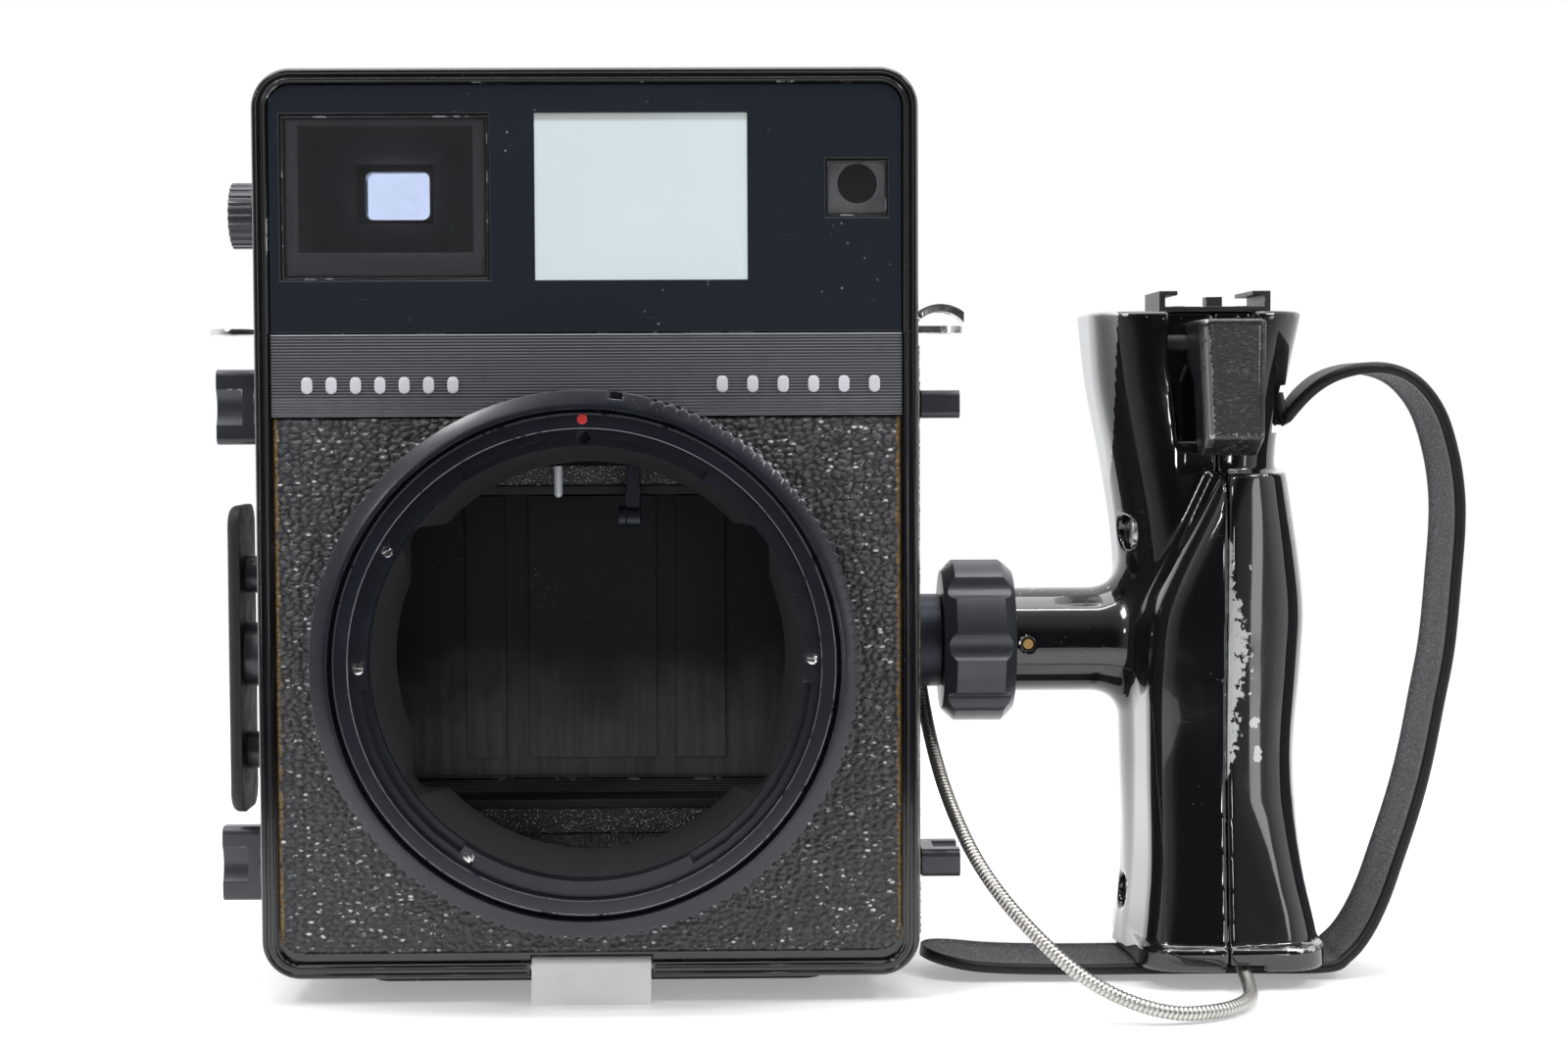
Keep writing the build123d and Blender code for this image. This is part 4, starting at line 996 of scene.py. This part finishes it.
def make_strap(material):
    """Moulded band with a rounded rim and a shallow grained inner face."""
    head = smooth_path(STRAP_PATH[:2], STRAP_STEP)
    path = np.vstack([head[:-1], smooth_path(STRAP_PATH[1:], STRAP_STEP)])
    tangents = np.gradient(path, axis=0)
    tangents /= np.linalg.norm(tangents, axis=1)[:, None]
    normals = np.stack([-tangents[:, 1], tangents[:, 0]], 1)
    half = (STRAP_Y[1] - STRAP_Y[0]) / 2
    middle = (STRAP_Y[1] + STRAP_Y[0]) / 2
    loop = strap_section(half)
    points, inner = [], []
    run = run_along(path)
    for at, normal, done in zip(path, normals, run):
        left = run[-1] - done
        taper = sqrt(max(0.0, 1 - (1 - left / half) ** 2)) if left < half else 1.0
        taper = max(taper, 0.12)
        neck = np.interp(done, (0.0, 8.0, 26.0), (0.3, 0.45, 1.0))
        shift = 0.85 * half * (1.0 - neck)
        for s, n, mark in loop:
            points.append((at[0] + normal[0] * n, middle + shift + s * taper * neck, at[1] + normal[1] * n))
            inner.append(mark)
    faces = tube_faces(len(path), len(loop), inward=True)
    strap = piece("hand_strap_band", points, faces, material, inner=inner)
    strap.data.set_sharp_from_angle(angle=radians(50))
    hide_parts("hand_strap")


make_strap(strap_finish())


# ---------------- leather
def pebbles(u, v, cell_u, cell_v, seed):
    """Distance to the nearest and second nearest point of a jittered grid."""
    rng = np.random.default_rng(seed)
    nu, nv = int(np.ceil(u.max() / cell_u)) + 3, int(np.ceil(v.max() / cell_v)) + 3
    jitter = rng.uniform(-0.42, 0.42, (nu + 2, nv + 2, 2))
    iu, iv = np.floor(u / cell_u).astype(int) + 1, np.floor(v / cell_v).astype(int) + 1
    first = np.full(u.shape, 9.0)
    second = np.full(u.shape, 9.0)
    for du in (-1, 0, 1):
        for dv in (-1, 0, 1):
            ju, jv = np.clip(iu + du, 0, nu + 1), np.clip(iv + dv, 0, nv + 1)
            cu = (ju - 1 + 0.5 + jitter[ju, jv, 0]) * cell_u
            cv = (jv - 1 + 0.5 + jitter[ju, jv, 1]) * cell_v
            d = np.hypot((u - cu) / cell_u, (v - cv) / cell_v)
            second = np.minimum(second, np.maximum(first, d))
            first = np.minimum(first, d)
    return first, second


def wobble(u, v, size, seed):
    """Smooth field from a few waves."""
    rng = np.random.default_rng(seed)
    total = np.zeros_like(u)
    for _ in range(6):
        a = rng.uniform(0, 2 * pi)
        k = 2 * pi / (size * rng.uniform(0.6, 1.6))
        total += np.sin(k * (u * cos(a) + v * sin(a)) + rng.uniform(0, 2 * pi))
    return total / 6


def grain_height(u, v, seed):
    """Pebble relief from 0 to 1."""
    wu = u + 0.55 * wobble(u, v, 5.0, seed) + 0.3 * wobble(u, v, 2.2, seed + 1)
    wv = v + 0.45 * wobble(u, v, 4.0, seed + 2) + 0.22 * wobble(u, v, 1.8, seed + 3)
    first, second = pebbles(wu, wv, 1.75, 1.05, seed)
    edge = np.clip((second - first) / 0.5, 0, 1)
    big = np.sqrt(edge) * (0.75 + 0.25 * np.clip(1 - first, 0, 1))
    return big * (0.82 + 0.18 * wobble(u, v, 7.0, seed + 4))


LEATHER_STEP = 0.34
LEATHER_CORNER = 4.2
CLAMP_HOLES = ((2.0, 21.2, 4.4), (2.0, 106.8, 4.4))
# holes in each sheet: place along it, height, radius
LEATHER_HOLES = {
    0: ((0.0, LENS_AXIS_Z, 45.4),),
    -1: ((2.0, 42.5, 3.3), (2.0, 60.5, 5.8), (2.0, 75.5, 3.3), *CLAMP_HOLES),
    1: ((ARM_Y, LENS_AXIS_Z, 8.4), *CLAMP_HOLES),
}


def box_mm(node):
    return [np.array(corner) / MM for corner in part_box(node)]


def leather_sheet(name, node, material, side):
    """Grained skin laid on the body. side is 0 for the front and -1 or 1 for the flanks."""
    low, high = box_mm(node)
    along = 1 if side else 0
    span_u, span_v = (low[along], high[along]), (low[2], high[2])
    us = np.linspace(*span_u, int((span_u[1] - span_u[0]) / LEATHER_STEP) + 1)
    vs = np.linspace(*span_v, int((span_v[1] - span_v[0]) / LEATHER_STEP) + 1)
    u, v = np.meshgrid(us, vs, indexing="ij")
    height = grain_height(u - span_u[0] + 2, v - span_v[0] + 2, 11 + side)
    border = np.minimum(np.minimum(u - span_u[0], span_u[1] - u), np.minimum(v - span_v[0], span_v[1] - v))
    roll = np.clip(border / 0.5, 0, 1)
    lift = np.sqrt(roll) * (0.25 + 0.75 * height)
    gone = np.zeros_like(u, bool)
    for cu, cv, radius in LEATHER_HOLES[side]:
        gone |= np.hypot(u - cu, v - cv) < radius
    if side == 0:
        r = LEATHER_CORNER
        for cu in (span_u[0] + r, span_u[1] - r):
            out = (u < cu) if cu < 0 else (u > cu)
            gone |= out & (v < span_v[0] + r) & (np.hypot(u - cu, v - span_v[0] - r) > r)
        points = np.stack([u, high[1] + (low[1] - high[1]) * lift, v], -1)
        glue = np.clip(1.3 - 0.6 * np.minimum(u - span_u[0], span_u[1] - u), 0, 1)
    else:
        base, top = (low[0], high[0]) if side > 0 else (high[0], low[0])
        points = np.stack([base + (top - base) * lift, u, v], -1)
        glue = np.clip(1.0 - 0.8 * (u - span_u[0]), 0, 1)
    nu, nv = u.shape
    number = -np.ones(nu * nv, int)
    index = np.arange(nu * nv).reshape(nu, nv)
    keep = ~gone
    quad_ok = keep[:-1, :-1] & keep[1:, :-1] & keep[1:, 1:] & keep[:-1, 1:]
    quads = np.stack([index[:-1, :-1], index[1:, :-1], index[1:, 1:], index[:-1, 1:]], -1)[quad_ok]
    if side < 0:
        quads = quads[:, ::-1]
    used = np.unique(quads)
    number[used] = np.arange(len(used))
    sheet = piece(name, points.reshape(-1, 3)[used], number[quads].tolist(), material,
                  glue=glue.reshape(-1)[used], relief=height.reshape(-1)[used])
    solid = sheet.modifiers.new("back", "SOLIDIFY")
    solid.thickness = 0.25 * MM
    solid.offset = -1.0
    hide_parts(node)


LEATHER = leatherette()
leather_sheet("front_leather_skin", "front_leatherette", LEATHER, 0)
leather_sheet("left_leather_skin", "left_leatherette", LEATHER, -1)
leather_sheet("right_leather_skin", "right_leatherette", LEATHER, 1)

# ---------------- parts that keep their CAD shape
ENAMEL = gloss_enamel()
ANODISED = anodised("black_anodised")
RING_BLACK = anodised("ring_black", (0.005, 0.0065, 0.011), 0.25, 0.15, (0.26, 0.27, 0.29), 0.25)
KNOB_BLACK = anodised("knob_black", (0.03, 0.032, 0.038), 0.32, 0.4, coat=0.4)
MATT = matt_black("matt_black")
CHROME = turned_metal("bright_metal", (0.82, 0.82, 0.82), 0.1, dirt=0.25)
ALU = turned_metal("bare_aluminium", (0.8, 0.81, 0.82), 0.34, (0.15, 1.0, 1.0), 0.15, 0.35)
SHOE = anodised("shoe_black", (0.05, 0.05, 0.052), 0.3, 0.75, (0.6, 0.6, 0.58))
MOULDED = cover_finish()
SIDE_PLATE = moulded("side_plate_black", (0.008, 0.008, 0.009), 0.5)
LATCH = moulded("latch_black")
TRIM = ribbed_metal()
PLATE = polished_plate()
GLASS = clear_glass("clear_glass")
STUD = turned_metal("stud_silver", (0.62, 0.64, 0.67), 0.38, dirt=0.15, metallic=0.3)
FRAME_GREY = matt_black("frame_grey", (0.018, 0.019, 0.022), 0.5)
THROAT = matt_black("throat_grey", (0.022, 0.0225, 0.024), 0.5)
BRASS = turned_metal("brass", (0.5, 0.33, 0.12), 0.3)

# edge rounding in mm, finish, nodes
SOFTENED = (
    (0.35, ENAMEL, "body_shell"),
    (0.3, ENAMEL, "finder_housing"),
    (0.15, PLATE, "finder_window_plate"),
    (0.0, TRIM, "ribbed_trim_plate"),
    (0.18, STUD, "trim_studs"),
    (0.2, RING_BLACK, "mount_base_ring"),
    (0.14, RING_BLACK, "breech_lock_ring"),
    (0.15, RING_BLACK, "bayonet_flange"),
    (0.1, CHROME, "flange_screws"),
    (0.2, THROAT, "throat_ring"),
    (0.15, MATT, "gate_baffle"),
    (0.5, ENAMEL, "rear_frame"),
    (0.35, MOULDED, "rear_cover"),
    (0.25, LATCH, "left_cover_latch right_cover_latch"),
    (0.2, STEEL, "extension_rods"),
    (0.35, KNOB_BLACK, "left_upper_clamp_knob left_lower_clamp_knob "
     "right_upper_clamp_knob right_lower_clamp_knob"),
    (0.12, KNOB_BLACK, "frame_selector_dial"),
    (0.3, SIDE_PLATE, "side_accessory_plate"),
    (0.15, KNOB_BLACK, "side_plate_posts"),
    (0.25, CHROME, "left_strap_lug right_strap_lug"),
    (0.5, ENAMEL, "base_plate"),
    (0.25, STEEL, "tripod_bush"),
    (0.15, ALU, "folding_foot"),
    (0.3, KNOB_BLACK, "grip_lock_ring"),
    (0.25, ANODISED, "grip_socket"),
    (0.15, SHOE, "accessory_shoe"),
    (0.15, ANODISED, "rangefinder_arm"),
    (0.2, MATT, "rangefinder_bracket"),
    (0.2, STEEL, "grip_screws"),
    (0.1, FRAME_GREY, "viewfinder_frame"),
)
for width, finish, nodes in SOFTENED:
    for node in nodes.split():
        soften(node, width, finish, RING_WEAR_AND_HIGHLIGHT if finish is RING_BLACK else EDGE_WEAR)
paint(STUD, "interlock_pin")
paint(STEEL, "foot_pin", "cable_gland", "cable_tip")
paint(BRASS, "arm_set_screw")
paint(MATT, "mirror_pivot_post", "trigger_pin")
paint(mirror_finish(), "rangefinder_mirror")
paint(GLASS, "beam_splitter")
paint(clear_glass("hazy_glass", transmission=0.99), "viewfinder_window", "rangefinder_window")
paint(clear_glass("eyepiece_glass", (0.66, 0.76, 1.0)), "eyepiece_lens")
paint(frosted_glass(), "illumination_window")
paint(matt_black("tunnel_brown", (0.006, 0.003, 0.0027), 0.85), "viewfinder_tunnel")
paint(flock_finish(), "light_trap_pads")


# ---------------- rim
BEADS = ((0.75, 0.5), (2.15, 0.42))     # inset from the rim, radius
BEAD_SIDES = 10


def make_bead(material):
    """Two fine beads on the rim that frames the front, open where the foot folds out."""
    foot_low, foot_high = box_mm("folding_foot")
    low, high = box_mm("body_shell")
    top = box_mm("finder_housing")[1][2]
    half = (high[0] - low[0]) / 2
    middle = (high[0] + low[0]) / 2
    for number, (inset, bead_r) in enumerate(BEADS):
        corner = 7.0 - inset
        path, out = [(foot_low[0] - 0.8, low[2] + inset)], [(0.0, -1.0)]
        for cx, cz, start in ((-1, -1, 270), (-1, 1, 180), (1, 1, 90), (1, -1, 0)):
            x = middle + cx * (half - inset - corner)
            z = (top - inset - corner) if cz > 0 else (low[2] + inset + corner)
            for k in range(13):
                a = radians(start - 7.5 * k)
                path.append((x + corner * cos(a), z + corner * sin(a)))
                out.append((cos(a), sin(a)))
        path.append((foot_high[0] + 0.8, low[2] + inset))
        out.append((0.0, -1.0))
        points = []
        for (x, z), (nx, nz) in zip(path, out):
            for k in range(BEAD_SIDES):
                c, d = bead_r * cos(2 * pi * k / BEAD_SIDES), bead_r * sin(2 * pi * k / BEAD_SIDES)
                points.append((x + c * nx, BODY_FRONT_Y + 0.12 + d, z + c * nz))
        bead = piece("rim_bead_%d" % number, points, tube_faces(len(path), BEAD_SIDES), material,
                     edge=[0.3] * len(points))


make_bead(ENAMEL)


# ---------------- rangefinder mask
def make_mask(material):
    """Grey plate with a round hole between the rangefinder window and its mirror."""
    high = box_mm("rangefinder_window")[1]
    mirror_low, mirror_high = box_mm("rangefinder_mirror")
    centre_x = (mirror_low[0] + mirror_high[0]) / 2
    centre_z = (mirror_low[2] + mirror_high[2]) / 2 + 0.6
    half_x, half_z = high[0] + 1 - centre_x, high[2] + 1 - centre_z
    y, hole, count = high[1] + 2.2, 3.55, 64
    front, back = y - 0.3, y + 0.6
    points = []
    for i in range(count):
        a = 2 * pi * (i + 0.5) / count
        c, s = cos(a), sin(a)
        reach = min(half_x / max(abs(c), 1e-6), half_z / max(abs(s), 1e-6))
        for radius, depth in ((hole, y), (hole + 0.3, front), (reach, front), (reach, back), (hole, back)):
            points.append((centre_x + radius * c, depth, centre_z + radius * s))
    mask = piece("rangefinder_mask", points, tube_faces(count, 5, capped=False, loop=True), material)
    mask.data.set_sharp_from_angle(angle=radians(30))


make_mask(moulded("mask_grey", (0.15, 0.147, 0.142), 0.6))


# ---------------- index marks
DOT_RINGS = ((1.0, 0.0), (0.92, 0.06), (0.7, 0.1), (0.35, 0.12))     # share of the radius, height
DOT_SIDES = 28


def dot(name, x, y, z, r, material, body):
    """Small domed paint dot that faces the front."""
    points = []
    for share, lift in DOT_RINGS:
        for i in range(DOT_SIDES):
            a = 2 * pi * i / DOT_SIDES
            points.append((x + r * share * cos(a), y - lift, z + r * share * sin(a)))
    top, under = len(points), len(points) + 1
    points += [(x, y - 0.125, z), (x, y + 0.1, z)]
    faces = tube_faces(len(DOT_RINGS), DOT_SIDES, capped=False)
    last = top - DOT_SIDES
    for i in range(DOT_SIDES):
        j = (i + 1) % DOT_SIDES
        faces += [(last + i, last + j, top), (j, i, under)]
    return piece(name, points, faces, material, body)


dot("index_dot_red", -0.1, -37.55, 104.6, 0.95, dot_paint("dot_red", (0.5, 0.02, 0.02)), "camera")
WHITE_PAINT = dot_paint("dot_white", (0.6, 0.6, 0.58))
dot("index_dot_white", -9.9, -38.75, 106.0, 0.42, WHITE_PAINT, "breech_ring")


# ---------------- bellows
BELLOWS_FOLDS = 5
BELLOWS_Y = (7.0, 25.25)


def make_bellows(material):
    """Pleated rectangular tube from the gate to the rear frame."""
    rows = BELLOWS_FOLDS * 8 + 1
    y0, y1 = BELLOWS_Y
    points = []
    for i in range(rows):
        t = i / (rows - 1)
        wave = 0.5 - 0.5 * cos(2 * pi * BELLOWS_FOLDS * t)
        grow = 0.4 + 3.3 * wave
        half_x, half_z, r = 43.5 + grow, 28.5 + grow, 1.5 + 2.0 * wave
        for cx, cz, start in ((1, 1, 0), (-1, 1, 90), (-1, -1, 180), (1, -1, 270)):
            for k in range(5):
                a = radians(start + 22.5 * k)
                points.append((cx * (half_x - r) + r * cos(a), y0 + (y1 - y0) * t,
                               LENS_AXIS_Z + cz * (half_z - r) + r * sin(a)))
    thing = shape("bellows_folds", points, tube_faces(rows, 20, capped=False), material)
    bm = bmesh.new()
    bm.from_mesh(thing.data)
    bmesh.ops.solidify(bm, geom=bm.faces[:], thickness=0.25 * MM)
    bm.to_mesh(thing.data)
    bm.free()
    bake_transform(thing)
    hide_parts("bellows")


make_bellows(cloth_finish())


def make_spring(material):
    """Return spring behind the trigger."""
    turns, wire, coil, sides = 6, 0.3, 1.8, 8
    y0, y1 = -7.3, -0.7
    steps = turns * 20
    points = []
    for i in range(steps + 1):
        a = 2 * pi * turns * i / steps
        y = y0 + wire + (y1 - y0 - 2 * wire) * i / steps
        out = Vector((cos(a), 0.0, sin(a)))
        centre = Vector((115.7, y, 105.6)) + out * coil
        for k in range(sides):
            b = 2 * pi * k / sides
            points.append(centre + wire * (cos(b) * out + sin(b) * Vector((0.0, 1.0, 0.0))))
    spring = piece("trigger_coil", points, tube_faces(steps + 1, sides, inward=True), material)
    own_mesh(spring)
    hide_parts("trigger_spring")


make_spring(STEEL)


# ---------------- floor
def make_floor():
    mesh = bpy.data.meshes.new("floor")
    bm = bmesh.new()
    bmesh.ops.create_circle(bm, cap_ends=True, segments=128, radius=FLOOR_RADIUS)
    bm.to_mesh(mesh)
    bm.free()
    mesh.materials.append(floor_finish())
    floor = show("floor", mesh)
    floor.location = FLOOR_AT


make_floor()
